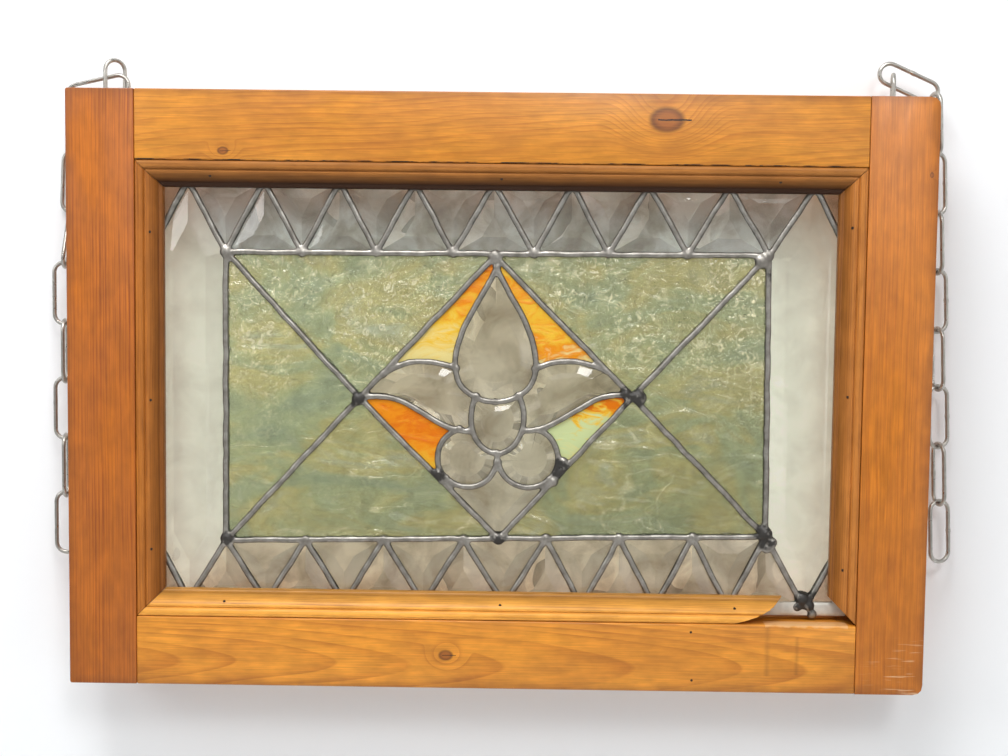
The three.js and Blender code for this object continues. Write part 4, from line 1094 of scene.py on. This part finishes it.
def zinc():
    """Bright zinc plate gone dull: a cool grey metal with a soft bloom and fine handling marks."""
    look, tree, shader, place = new_material("dulled zinc plate")
    bloom = put(tree, "ShaderNodeTexNoise", {"Vector": place, "Scale": 220.0, "Detail": 4.0}).outputs[0]
    shade = put(tree, "ShaderNodeMix", {0: bloom, 6: linear("#8f8b84"), 7: linear("#cfccc5")},
                data_type="RGBA").outputs[2]
    tree.links.new(shade, shader.inputs["Base Color"])
    rough = put(tree, "ShaderNodeMapRange", {"Value": bloom, "From Min": 0.3, "From Max": 0.7,
                                             "To Min": 0.42, "To Max": 0.24}).outputs[0]
    tree.links.new(rough, shader.inputs["Roughness"])
    bump = put(tree, "ShaderNodeBump", {"Height": bloom, "Strength": 0.2, "Distance": 0.1 * MM})
    tree.links.new(bump.outputs[0], shader.inputs["Normal"])
    shader.inputs["Metallic"].default_value = 1.0
    return look


def link_mesh():
    """One welded link, long in Z, with the swelling of its weld halfway along one side."""
    straight = (LINK_LENGTH - LINK_WIDTH) / 2
    spine = []
    for start, z in ((0, straight), (180, -straight)):
        for i in range(13):
            turn = math.radians(start + 180 * i / 12)
            out = Vector((math.cos(turn), 0.0, math.sin(turn)))
            spine.append((out * LINK_RADIUS + Vector((0.0, 0.0, z)), out))
        side = -1 if start == 0 else 1
        for i in range(1, 12):
            spine.append((Vector((side * LINK_RADIUS, 0.0, z * (1 - i / 6))), Vector((side, 0.0, 0.0))))
    points = []
    for place, out in spine:
        weld = math.exp(-(place.z / 1.3) ** 2) if place.x > 0 else 0.0
        radius = (WIRE / 2) * (1 + 0.2 * weld)
        for k in range(WIRE_SIDES):
            turn = 2 * math.pi * k / WIRE_SIDES
            points.append((place + out * radius * math.cos(turn)
                           + Vector((0.0, -1.0, 0.0)) * radius * math.sin(turn)) * MM)
    faces = []
    for i in range(len(spine)):
        faces += ring_faces(i * WIRE_SIDES, (i + 1) % len(spine) * WIRE_SIDES, WIRE_SIDES)
    return mesh_of("link_shape", points, faces)


def link_places(chain):
    """Where each link of a chain lies: its middle in millimetres and its turn."""
    x, z, face = chain["upright"]
    wire_flat = WIRE * math.cos(math.pi / 6)
    upright_y = CHAIN_Y - LINK_RADIUS * math.sin(math.radians(face)) + wire_flat - 0.15
    down = Vector((0.0, 0.0, -1.0))
    places = [(Vector((x, upright_y, z)), down, face)]
    lie_x, lie_z, tilt = chain["lying"]
    tilt = math.radians(tilt)
    out = Vector((chain["side"] * math.cos(tilt), 0.0, chain["side"] * math.sin(tilt)))
    middle = Vector((lie_x, CHAIN_Y, lie_z))
    places.append((middle, out, 0.0))
    start = middle + out * PITCH / 2
    end = Vector((chain["end"][0], CHAIN_Y, chain["end"][1]))
    hanging, plumb = chain["hanging"], chain["plumb"]
    if plumb == 0:
        nodes = [start.lerp(end, i / hanging) for i in range(hanging + 1)]
    else:
        top = end + Vector((0.0, 0.0, plumb * PITCH))
        drop = (top - start).length
        slant = (drop - (hanging - plumb - 2) * PITCH) / 2
        belly = math.sqrt(PITCH ** 2 - slant ** 2)
        nodes = [start]
        for i in range(1, hanging - plumb):
            node = start.lerp(top, (slant + (i - 1) * PITCH) / drop)
            node.y += belly
            nodes.append(node)
        nodes += [top.lerp(end, i / plumb) for i in range(plumb + 1)]
    for i, (a, b) in enumerate(zip(nodes, nodes[1:])):
        places.append(((a + b) / 2, b - a, chain["twist"] if i % 2 else 90 + chain["twist"]))
    return places


def turned(direction, twist):
    """A link's turn as Euler angles: about its own length, then over to lie along a direction."""
    swing = Vector((0.0, 0.0, -1.0)).rotation_difference(direction.normalized())
    return (swing.to_matrix() @ Matrix.Rotation(math.radians(twist), 3, "Z")).to_euler("XYZ")


def chain_tree():
    """Geometry Nodes that put a link at each point, turned by the point's own angles."""
    tree = bpy.data.node_groups.new("Chain links", "GeometryNodeTree")
    tree.is_modifier = True
    face = tree.interface
    face.new_socket("Geometry", in_out="INPUT", socket_type="NodeSocketGeometry")
    face.new_socket("Link", in_out="INPUT", socket_type="NodeSocketObject")
    size = face.new_socket("Size", in_out="INPUT", socket_type="NodeSocketFloat")
    size.default_value = 1.0
    face.new_socket("Material", in_out="INPUT", socket_type="NodeSocketMaterial")
    face.new_socket("Geometry", in_out="OUTPUT", socket_type="NodeSocketGeometry")
    given = put(tree, "NodeGroupInput").outputs
    link = put(tree, "GeometryNodeObjectInfo", {"Object": given["Link"]}).outputs["Geometry"]
    turn = put(tree, "GeometryNodeInputNamedAttribute", {"Name": "turn"}, data_type="FLOAT_VECTOR").outputs[0]
    turn = put(tree, "FunctionNodeEulerToRotation", {0: turn}).outputs[0]
    links = put(tree, "GeometryNodeInstanceOnPoints", {"Points": given["Geometry"], "Instance": link,
                                                       "Rotation": turn, "Scale": given["Size"]})
    real = put(tree, "GeometryNodeRealizeInstances", {0: links.outputs[0]})
    painted = put(tree, "GeometryNodeSetMaterial", {"Geometry": real.outputs[0],
                                                    "Material": given["Material"]})
    put(tree, "NodeGroupOutput", {0: painted.outputs[0]})
    return tree


def repeated(name, places, shape, tree, look, size=1.0):
    """One mesh of a shape repeated at places in millimetres, each with a turn."""
    mesh = mesh_of(name, [p * MM for p, _ in places], [])
    turns = mesh.attributes.new("turn", "FLOAT_VECTOR", "POINT")
    for i, (_, turn) in enumerate(places):
        turns.data[i].vector = turn
    piece = new_object(name, mesh)
    helper = new_object(f"{name}_shape", shape)
    modifier = piece.modifiers.new("Repeat", "NODES")
    modifier.node_group = tree
    give(modifier, {"Link": helper, "Material": look, "Size": size})
    settle(piece)
    bpy.data.objects.remove(helper)
    return piece


def eye_mesh(x, y, z):
    """The screw eye in the stile's back: a bent ring on a threaded shank."""
    points = []
    faces = []
    turns = 40
    for i in range(turns):
        a = 2 * math.pi * i / turns
        out = Vector((0.0, math.cos(a), math.sin(a)))
        for k in range(WIRE_SIDES):
            b = 2 * math.pi * k / WIRE_SIDES
            spot = Vector((x, y, z)) + out * (EYE_RADIUS + EYE_WIRE / 2 * math.cos(b))
            points.append((spot + Vector((EYE_WIRE / 2 * math.sin(b), 0.0, 0.0))) * MM)
    for i in range(turns):
        faces += ring_faces(i * WIRE_SIDES, (i + 1) % turns * WIRE_SIDES, WIRE_SIDES)
    start = len(points)
    back = y - EYE_RADIUS
    front = BACK / MM - 11
    steps = 34
    for i in range(steps + 1):
        depth = back + (front - back) * i / steps
        thread = 0.16 * (i % 2) if depth < BACK / MM + 1.5 else 0.0
        for k in range(WIRE_SIDES):
            b = 2 * math.pi * k / WIRE_SIDES
            radius = EYE_WIRE / 2 - thread - (0.8 if i == steps else 0.0)
            points.append(Vector((x + radius * math.cos(b), depth, z + radius * math.sin(b))) * MM)
    for i in range(steps):
        ring = start + i * WIRE_SIDES
        faces += ring_faces(ring, ring + WIRE_SIDES, WIRE_SIDES)
    faces.append(tuple(start + k for k in range(WIRE_SIDES)))
    faces.append(tuple(start + steps * WIRE_SIDES + k for k in range(WIRE_SIDES)))
    return mesh_of("eye_shape", points, faces)


# ---- what a user can change ----


class BoardSettings(bpy.types.PropertyGroup):
    """Sizes and colours of the frame's boards."""

    arris: FloatProperty(name="Arris", description="How far the boards' edges are rounded",
                         default=0.9 * MM, min=0.0, max=0.004, unit="LENGTH")
    ring: FloatProperty(name="Growth rings", description="Distance between growth rings",
                        default=2.5 * MM, min=0.0005, unit="LENGTH")
    early: FloatVectorProperty(name="Early wood", description="The pale part of each ring, under varnish",
                               default=linear("#e29530"), subtype="COLOR", min=0.0, max=1.0)
    late: FloatVectorProperty(name="Late wood", description="The dark line of each ring, under varnish",
                              default=linear("#a05212"), subtype="COLOR", min=0.0, max=1.0)


class BeadSettings(bpy.types.PropertyGroup):
    """Colours of the glazing beads."""

    early: FloatVectorProperty(name="Bead wood", description="The beads' pale wood, under varnish",
                               default=linear("#f8b04c"), subtype="COLOR", min=0.0, max=1.0)
    brad: FloatProperty(name="Brad head", description="Radius of a brad's head", default=0.85 * MM,
                        min=0.0002, unit="LENGTH")


class LeadSettings(bpy.types.PropertyGroup):
    """Sizes of the soldered lead lines."""

    half_width: FloatProperty(name="Half width", description="Half the width of a solder line",
                              default=1.95 * MM, min=0.0005, unit="LENGTH")
    lumpiness: FloatProperty(name="Lumpiness", description="How much a line swells and thins",
                             default=0.32, min=0.0, max=1.0)
    seed: IntProperty(name="Seed", description="Another seed gives other lumps", default=7)


class GlassSettings(bpy.types.PropertyGroup):
    """Sizes of the cut and bevelled glass."""

    keep: FloatProperty(name="Flat share", description="How much of a cut piece its flat face keeps",
                        default=0.64, min=0.2, max=0.95, subtype="FACTOR")
    rise: FloatProperty(name="Rise", description="How far a cut piece stands in front of the panel's plane",
                        default=1.5 * MM, min=0.0, max=0.004, unit="LENGTH")


class ChainSettings(bpy.types.PropertyGroup):
    """Sizes of the chain links."""

    size: FloatProperty(name="Link size", description="Scales every link about its own middle",
                        default=1.0, min=0.9, max=1.05, subtype="FACTOR")


class StageSettings(bpy.types.PropertyGroup):
    """The wall, the floor and the light."""

    wall: FloatProperty(name="Wall distance", description="How far the wall stands behind the origin",
                        default=0.042, min=0.04, unit="LENGTH")
    key: FloatProperty(name="Key light", description="Power of the light above", default=13.5, min=0.0,
                       unit="POWER")
    fill: FloatProperty(name="Room", description="Brightness of the room's light panels", default=1.75,
                        min=0.0)
    glow: FloatProperty(name="Glow", description="Light that the wall sends back through the glass",
                        default=0.42, min=0.0)


# ---- operators ----


class WINDOW_OT_stage(bpy.types.Operator):
    """Add the camera, the pale wall and floor, and soft light"""

    bl_idname = "window.stage"
    bl_label = "Stage and camera"

    def execute(self, context):
        scene = context.scene
        settings = scene.window_stage
        yaw, pitch, roll = math.radians(-0.55), math.radians(4.16), math.radians(0.69)
        forward = Vector((math.sin(yaw) * math.cos(pitch), math.cos(yaw) * math.cos(pitch), -math.sin(pitch)))
        level = Vector((math.cos(yaw), -math.sin(yaw), 0.0))
        rise = level.cross(forward)
        right = level * math.cos(roll) + rise * math.sin(roll)
        up = rise * math.cos(roll) - level * math.sin(roll)
        lens = bpy.data.cameras.new("camera")
        lens.lens = 53.57
        lens.sensor_width = 36.0
        lens.clip_start = 0.01
        camera = bpy.data.objects.new("camera", lens)
        turn = Matrix((right, up, -forward)).transposed().to_4x4()
        camera.matrix_world = Matrix.Translation((0.0117, -0.8922, -0.1022)) @ turn
        scene.collection.objects.link(camera)
        scene.camera = camera
        scene.view_settings.view_transform = "Standard"

        plain, tree, shader, spot = new_material("pale matt paint")
        shader.inputs["Base Color"].default_value = [0.88, 0.9, 0.92, 1.0]
        shader.inputs["Roughness"].default_value = 0.9
        # The wall glows behind the panes: painted light standing in for light come back through the glass,
        # with painted shadow behind the top of the panel.
        y, floor = settings.wall, -1.1
        xyz = put(tree, "ShaderNodeSeparateXYZ", {0: spot})
        edge = put(tree, "ShaderNodeMath", {0: xyz.outputs["X"]}, operation="ABSOLUTE").outputs[0]
        edge = put(tree, "ShaderNodeMapRange", {"Value": edge, "From Min": 0.19, "From Max": 0.225,
                                                "To Min": 1.0, "To Max": 0.0},
                   interpolation_type="SMOOTHSTEP").outputs[0]
        head = put(tree, "ShaderNodeMapRange", {"Value": xyz.outputs["Z"], "From Min": -0.125,
                                                "From Max": -0.045, "To Min": 1.0, "To Max": 0.0},
                   interpolation_type="SMOOTHSTEP").outputs[0]
        foot = put(tree, "ShaderNodeMapRange", {"Value": xyz.outputs["Z"], "From Min": -0.325,
                                                "From Max": -0.285},
                   interpolation_type="SMOOTHSTEP").outputs[0]
        glow = put(tree, "ShaderNodeMath", {0: edge, 1: head}, operation="MULTIPLY").outputs[0]
        glow = put(tree, "ShaderNodeMath", {0: glow, 1: foot}, operation="MULTIPLY").outputs[0]
        glow = put(tree, "ShaderNodeMath", {0: glow, 1: settings.glow}, operation="MULTIPLY").outputs[0]
        tree.links.new(glow, shader.inputs["Emission Strength"])
        shader.inputs["Emission Color"].default_value = [1.0, 0.97, 0.86, 1.0]
        # The wall is seen and lit from the front only, so that it hides nothing from behind.
        gone = put(tree, "ShaderNodeBsdfTransparent")
        behind = put(tree, "ShaderNodeNewGeometry").outputs["Backfacing"]
        shadow = put(tree, "ShaderNodeLightPath").outputs["Is Shadow Ray"]
        away = put(tree, "ShaderNodeMath", {0: behind, 1: shadow}, operation="MAXIMUM").outputs[0]
        both = put(tree, "ShaderNodeMixShader", {0: away, 1: shader.outputs[0], 2: gone.outputs[0]})
        output = next(n for n in tree.nodes if n.type == "OUTPUT_MATERIAL")
        tree.links.new(both.outputs[0], output.inputs["Surface"])
        wall = bpy.data.meshes.new("wall")
        wall.from_pydata([(-3, y, floor), (3, y, floor), (3, y, 2), (-3, y, 2)], [], [(0, 1, 2, 3)])
        ground = bpy.data.meshes.new("floor")
        ground.from_pydata([(-4, -4, floor), (4, -4, floor), (4, 4, floor), (-4, 4, floor)], [],
                           [(0, 1, 2, 3)])
        even, _, base, _ = new_material("pale floor paint")
        base.inputs["Base Color"].default_value = [0.8, 0.8, 0.79, 1.0]
        base.inputs["Roughness"].default_value = 0.8
        for name, mesh, paint in (("wall", wall, plain), ("floor", ground, even)):
            made = new_object(name, mesh)
            mesh.materials.append(paint)

        world = bpy.data.worlds.new("studio")
        world.use_nodes = True
        # A dim room with a few bright panels for the bevels and the solder to catch.
        room = world.node_tree
        back = room.nodes["Background"]
        way = put(room, "ShaderNodeTexCoord").outputs["Generated"]
        panels = put(room, "ShaderNodeTexNoise", {"Vector": way, "Scale": 3.1, "Detail": 0.0}).outputs[0]
        panels = put(room, "ShaderNodeValToRGB", {0: panels}, stops=[
            (0.0, 0.07), (0.6, 0.1), (0.63, 0.95), (1.0, 1.0)]).outputs[0]
        # Seen directly, the room is a plain pale backdrop.
        direct = put(room, "ShaderNodeLightPath").outputs["Is Camera Ray"]
        seen = put(room, "ShaderNodeMix", {0: direct, 6: panels, 7: [0.47, 0.47, 0.47, 1.0]},
                   data_type="RGBA").outputs[2]
        room.links.new(seen, back.inputs["Color"])
        back.inputs["Strength"].default_value = settings.fill
        scene.world = world
        for name, place, size, power in (
            ("key", (-0.25, -0.75, 0.95), 0.7, settings.key),
            ("front", (0.35, -1.5, 0.75), 0.45, settings.key * 0.5),
            ("side", (-1.2, -1.0, 0.25), 0.5, settings.key * 0.25),
            ("rear", (0.5, 1.4, 0.7), 1.0, settings.key * 1.2),
        ):
            lamp = bpy.data.lights.new(name, "AREA")
            lamp.shape = "DISK"
            lamp.size = size
            lamp.energy = power
            light = bpy.data.objects.new(name, lamp)
            light.location = place
            aim = Vector((0.0, 0.0, -0.17)) - Vector(place)
            light.rotation_euler = aim.to_track_quat("-Z", "Y").to_euler()
            scene.collection.objects.link(light)
        return {"FINISHED"}


class WINDOW_OT_boards(bpy.types.Operator):
    """Make the four pine boards with rounded arrises and their own grain"""

    bl_idname = "window.boards"
    bl_label = "Frame boards"

    def execute(self, context):
        settings = context.scene.window_boards
        early, late = list(settings.early), list(settings.late)
        ring = settings.ring / MM
        darker = [c * s for c, s in zip(early, (0.62, 0.44, 0.32))]
        redder = [c * s for c, s in zip(early, (0.72, 0.58, 0.45))]
        deep = [c * s for c, s in zip(late, (0.66, 0.52, 0.4))]
        boards = {
            "rail_top": ("pine_rail_top", pine(
                "varnished pine, top rail", "X", [c * 0.84 for c in early], late, (-62, 34), lean=0.05,
                ring=ring, knots=((96, -15, 7.5), (-162, -35.5, 2.4)), seed=2.0, stain=0.42, wander=6.0,
                contrast=0.42, seam_shade=True)),
            "rail_bottom": ("pine_rail_bottom", pine(
                "varnished pine, bottom rail", "X", [c * 0.97 for c in early], late, (-338, 20), lean=-0.045,
                ring=ring, knots=((-29.5, -332, 3.2),), seed=5.4, stain=0.42, wander=4.0, contrast=0.5,
                streaks=((161.5, 2.2, -342, -312), (179, 1.8, -341, -318)),
                bare=(160, 209, -310.6, -309.4))),
            "stile_left": ("pine_stile_left", pine(
                "varnished pine, left stile", "Z", darker, deep, (-150, 30), ring=1.7, seed=8.1, stain=0.25,
                wander=2.0, contrast=0.75)),
            "stile_right": ("pine_stile_right", pine(
                "varnished pine, right stile", "Z", redder, late, (150, 40), ring=2.2, seed=11.7, stain=0.34,
                knots=((250, -45, 1.2),), wander=3.0, contrast=0.5, worn=(248, -345, 34))),
        }
        for node, (slot, look) in boards.items():
            piece = new_object(f"{node}_board", merged_copy(node))
            edge = piece.modifiers.new("Arris", "BEVEL")
            edge.width = settings.arris
            edge.segments = 3
            edge.limit_method = "ANGLE"
            edge.angle_limit = math.radians(40)
            settle(piece)
            piece.data.materials.append(look)
            soften(piece, 45)
            finish_piece(piece, slot, node)
        return {"FINISHED"}


class WINDOW_OT_beads(bpy.types.Operator):
    """Make the four moulded glazing beads, the lower one broken off short"""

    bl_idname = "window.beads"
    bl_label = "Glazing beads"

    def execute(self, context):
        early = list(context.scene.window_beads.early)
        bare = raw_pine()
        # The beads share one wood, darkened by painted shade as light falls on them: most on the upper bead,
        # which faces down, less on the side beads, none on the lower bead, which faces up.
        brown = [c * s for c, s in zip(early, (0.5, 0.37, 0.33))]
        tan = [c * s for c, s in zip(early, (0.55, 0.44, 0.5))]
        sides = {
            "top": ("pine_bead_dark", "X", [c * s for c, s in zip(early, (0.43, 0.36, 0.4))]),
            "left": ("pine_bead_dark", "Z", brown),
            "right": ("pine_bead_light", "Z", tan),
            "bottom": ("pine_bead_light", "X", early),
        }
        for i, (side, (slot, along, shade)) in enumerate(sides.items()):
            late = [c * s for c, s in zip(shade, (0.6, 0.5, 0.42))]
            pith = (-150, 40) if along == "X" else (90, 60)
            # The upper bead gets the darkest hollows, dirt with painted shade, and the dullest varnish.
            rough, dirt_and_shade = (0.6, 0.97) if side == "top" else (0.38, 0.5)
            look = pine(f"varnished pine, {side} bead", along, shade, late, pith, ring=1.5, seed=20.0 + i * 3,
                        stain=0.35, rough=rough, wander=1.5, dirt_and_shade=dirt_and_shade, edges=False, contrast=0.8)
            piece = new_object(f"bead_{side}_moulding", bead_mesh(side, f"bead_{side}_moulding"))
            piece.data.materials.append(look)
            piece.data.materials.append(bare)
            soften(piece, 38)
            finish_piece(piece, slot, f"bead_{side}")
        return {"FINISHED"}


class WINDOW_OT_brads(bpy.types.Operator):
    """Set the small brads that hold the beads, and the old nail holes"""

    bl_idname = "window.brads"
    bl_label = "Brads"

    def execute(self, context):
        radius = context.scene.window_beads.brad
        look, tree, shader, place = new_material("rusted brad heads")
        rust = put(tree, "ShaderNodeTexNoise", {"Vector": place, "Scale": 900.0, "Detail": 2.0}).outputs[0]
        shade = put(tree, "ShaderNodeMix", {0: rust, 6: linear("#1c120c"), 7: linear("#4c3a2c")},
                    data_type="RGBA").outputs[2]
        tree.links.new(shade, shader.inputs["Base Color"])
        shader.inputs["Metallic"].default_value = 0.5
        shader.inputs["Roughness"].default_value = 0.6
        places = []
        for side, spots in (("left", (-83, -182, -271)), ("right", (-76, -175, -278)),
                            ("top", (-170, 0.5, 163)), ("bottom", (-162, 2.5, 142))):
            middle = (OPENING_TOP + OPENING_BOTTOM) / 2
            for spot in spots:
                along = spot * MM if side in ("top", "bottom") else spot * MM - middle
                inward = 8.6 * MM if side in ("top", "bottom") else 8.2 * MM
                at = bead_point(side, along, inward, bead_depth(inward) - 0.1 * MM)
                places.append((at / MM, Vector((0.0, 0.0, 0.0))))
        for x, z in ((116, -316), (117, -345)):
            places.append((Vector((x, FRONT / MM + 0.1, z)), Vector((0.0, 0.0, 0.0))))
        rim = [(radius * math.cos(2 * math.pi * k / 12), radius * math.sin(2 * math.pi * k / 12))
               for k in range(12)]
        points = [(x, 0.0, z) for x, z in rim] + [(x * 0.8, -0.2 * MM, z * 0.8) for x, z in rim]
        points += [(x, 0.8 * MM, z) for x, z in rim]
        faces = [tuple(range(12, 24)), tuple(range(24, 36))]
        for k in range(12):
            m = (k + 1) % 12
            faces += [(k, m, 12 + m, 12 + k), (k, m, 24 + m, 24 + k)]
        piece = repeated("brads", places, mesh_of("brad_shape", points, faces), chain_tree(), look)
        soften(piece, 30)
        finish_piece(piece, "lead")
        return {"FINISHED"}


class WINDOW_OT_lead(bpy.types.Operator):
    """Run the lumpy solder lines and their joints, front and back"""

    bl_idname = "window.lead"
    bl_label = "Lead lattice"

    def execute(self, context):
        settings = context.scene.window_lead
        tree = solder_tree()
        metal = solder_metal()
        lines = line_mesh("lead_lines", lattice_lines())
        joints = new_object("joints", joint_mesh("joints", blob_points()))
        front = None
        for name, depth, width, step, lump, voxel, seed in (
            ("lead_front", -0.45 * MM, settings.half_width, 0.9 * MM, settings.lumpiness, 0.8 * MM, 0),
            ("lead_back", 4.0 * MM, settings.half_width * 0.95, 1.4 * MM, settings.lumpiness * 0.7, 0.8 * MM,
             5),
        ):
            piece = new_object(name, lines.copy())
            modifier = piece.modifiers.new("Solder", "NODES")
            modifier.node_group = tree
            give(modifier, {"Half width": width, "Step": step, "Lumpiness": lump, "Flatness": 0.66,
                            "Depth": depth, "Joints": joints, "Seed": settings.seed + seed,
                            "Material": metal})
            settle(piece)
            melt(piece, voxel, 3)
            piece.data.materials.clear()
            piece.data.materials.append(metal)
            piece.data.shade_smooth()
            front = front or piece
            finish_piece(piece, "lead", *(["lead_lattice"] if piece is front else []))
        bpy.data.objects.remove(joints)
        came = new_object("edge_came", edge_came("edge_came"))
        came.data.materials.append(came_lead())
        soften(came, 40)
        finish_piece(came, "lead", "lead_lattice")
        return {"FINISHED"}


class WINDOW_OT_green_panes(bpy.types.Operator):
    """Colour the six green panes"""

    bl_idname = "window.green_panes"
    bl_label = "Green panes"

    def execute(self, context):
        look = green_art_glass()
        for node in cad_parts:
            if node.startswith("green_"):
                dress(node, look)
        return {"FINISHED"}


class WINDOW_OT_amber_panes(bpy.types.Operator):
    """Colour the four streaky amber panes round the flower"""

    bl_idname = "window.amber_panes"
    bl_label = "Amber panes"

    def execute(self, context):
        orange, deep = linear("#f59a1c"), linear("#ea7c12")
        yellow, cream = linear("#f6c93e"), linear("#f1e096")
        pale = linear("#d3dfa6")
        panes = {
            "amber_upper_left": (-163, -98, [(0.1, cream), (0.45, yellow), (0.75, orange), (1.0, deep)],
                                 50, 0.0),
            "amber_upper_right": (-163, -98, [(0.0, cream), (0.2, orange), (0.5, yellow), (0.75, orange),
                                              (1.0, yellow)], -50, 1.3),
            "amber_lower_left": (-228, -180, [(0.0, yellow), (0.42, orange), (0.65, deep), (0.85, orange)],
                                 -38, 2.1),
            "amber_lower_right": (-228, -178, [(0.1, cream), (0.4, pale), (0.62, pale), (0.8, yellow),
                                               (1.0, deep)],
                                  40, 3.7),
        }
        for node, (low, high, stops, turn, seed) in panes.items():
            look = amber_art_glass(f"opalescent glass, {node}", low, high, stops, turn, seed)
            dress(node, look)
        return {"FINISHED"}


class WINDOW_OT_clear_panes(bpy.types.Operator):
    """Cut the clear bevelled pieces and the small slivers in the corners"""

    bl_idname = "window.clear_panes"
    bl_label = "Clear bevelled pieces"

    def execute(self, context):
        settings = context.scene.window_glass
        strips = clear_plate("clear plate glass, side strips", linear("#eef3ea"), linear("#c6c8c0"), 0.22)
        # The upper row gets its own paler, cooler copy of the glass: painted light against the shade the top
        # rail and bead cast on it.
        upper = clear_plate("clear plate glass, upper row", linear("#ebf3f5"), linear("#acb4b7"), 0.85)
        look = clear_plate("clear plate glass, small cuts", linear("#d4d0c1"), linear("#9b978c"), 0.85)
        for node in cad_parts:
            if node.startswith("strip_"):
                dress(node, strips)
            if node.startswith("triangle_"):
                dress(node, upper if "_top_" in node else look)
        hearts = {
            "petal_upper": (-2, -152), "leaf_left": (-44, -175), "leaf_right": (41, -174),
            "heart_oval": (-0.5, -195), "petal_round_left": (-19, -215.5), "petal_round_right": (19, -215.5),
        }
        cut = [(node, bevelled_pane(node, heart, settings.keep, settings.rise))
               for node, heart in hearts.items()]
        cut.append(("bevel_lower", wedge_pane("bevel_lower")))
        for node, mesh in cut:
            piece = new_object(f"{node}_cut", mesh)
            mesh.materials.append(look)
            soften(piece, 9)
            finish_piece(piece, "clear_glass", node)
        points = []
        faces = []
        for side in (-1, 1):
            for edge, inward in ((TOP_EDGE, -1), (LOW_EDGE, 1)):
                tip = (side * (STRIP_TIP + 2.4), edge)
                corner = (side * FIELD_X / MM, edge)
                foot = (side * FIELD_X / MM, edge + inward * (STRIP_SHOULDER - 4))
                start = len(points)
                for depth in (GLASS_FRONT, GLASS_BACK):
                    points += [(x * MM, depth, z * MM) for x, z in (tip, corner, foot)]
                faces += [(start, start + 1, start + 2), (start + 3, start + 4, start + 5)]
                for k in range(3):
                    m = (k + 1) % 3
                    faces.append((start + k, start + m, start + 3 + m, start + 3 + k))
        slivers = new_object("corner_slivers", mesh_of("corner_slivers", points, faces))
        slivers.data.materials.append(look)
        finish_piece(slivers, "clear_glass")
        return {"FINISHED"}


class WINDOW_OT_chains(bpy.types.Operator):
    """Hang the two chains link by link, with their screw eyes"""

    bl_idname = "window.chains"
    bl_label = "Hanging chains"

    def execute(self, context):
        tree = chain_tree()
        look = zinc()
        size = context.scene.window_chains.size
        for node, chain in CHAINS.items():
            places = link_places(chain)
            turned_places = [(middle, Vector(turned(way, twist))) for middle, way, twist in places]
            piece = repeated(f"{node}_links", turned_places, link_mesh(), tree, look, size)
            soften(piece, 60)
            finish_piece(piece, "zinc", node)
            x, z, _ = chain["upright"]
            eye_z = z - LINK_LENGTH / 2 + WIRE + EYE_WIRE / 2 - 0.15 - EYE_RADIUS
            eye = new_object(f"{node}_eye", eye_mesh(x, places[0][0].y, eye_z))
            eye.data.materials.append(look)
            soften(eye, 50)
            finish_piece(eye, "zinc", node)
        return {"FINISHED"}


class WINDOW_PT_panel(bpy.types.Panel):
    """Lists the window's pieces and their settings"""

    bl_label = "Leaded glass window"
    bl_idname = "WINDOW_PT_panel"
    bl_space_type = "VIEW_3D"
    bl_region_type = "UI"
    bl_category = "Window"

    def draw(self, context):
        layout = self.layout
        for name, group, operators in GROUPS:
            box = layout.box()
            settings = getattr(context.scene, name)
            for prop in group.__annotations__:
                box.prop(settings, prop)
            for operator in operators:
                box.operator(operator.bl_idname)


GROUPS = (
    ("window_stage", StageSettings, (WINDOW_OT_stage,)),
    ("window_boards", BoardSettings, (WINDOW_OT_boards,)),
    ("window_beads", BeadSettings, (WINDOW_OT_beads, WINDOW_OT_brads)),
    ("window_lead", LeadSettings, (WINDOW_OT_lead,)),
    ("window_glass", GlassSettings, (WINDOW_OT_green_panes, WINDOW_OT_amber_panes, WINDOW_OT_clear_panes)),
    ("window_chains", ChainSettings, (WINDOW_OT_chains,)),
)


def register():
    """Registers the settings, the operators and the panel."""
    for name, group, operators in GROUPS:
        bpy.utils.register_class(group)
        setattr(bpy.types.Scene, name, PointerProperty(type=group))
        for operator in operators:
            bpy.utils.register_class(operator)
    bpy.utils.register_class(WINDOW_PT_panel)


def unregister():
    """Takes away what register added."""
    bpy.utils.unregister_class(WINDOW_PT_panel)
    for name, group, operators in reversed(GROUPS):
        for operator in operators:
            bpy.utils.unregister_class(operator)
        delattr(bpy.types.Scene, name)
        bpy.utils.unregister_class(group)


def main():
    """Builds the whole window."""
    random.seed(4)
    register()
    bpy.ops.window.stage()
    bpy.ops.window.boards()
    bpy.ops.window.beads()
    bpy.ops.window.brads()
    bpy.ops.window.lead()
    bpy.ops.window.green_panes()
    bpy.ops.window.amber_panes()
    bpy.ops.window.clear_panes()
    bpy.ops.window.chains()


if __name__ == "__main__":
    main()
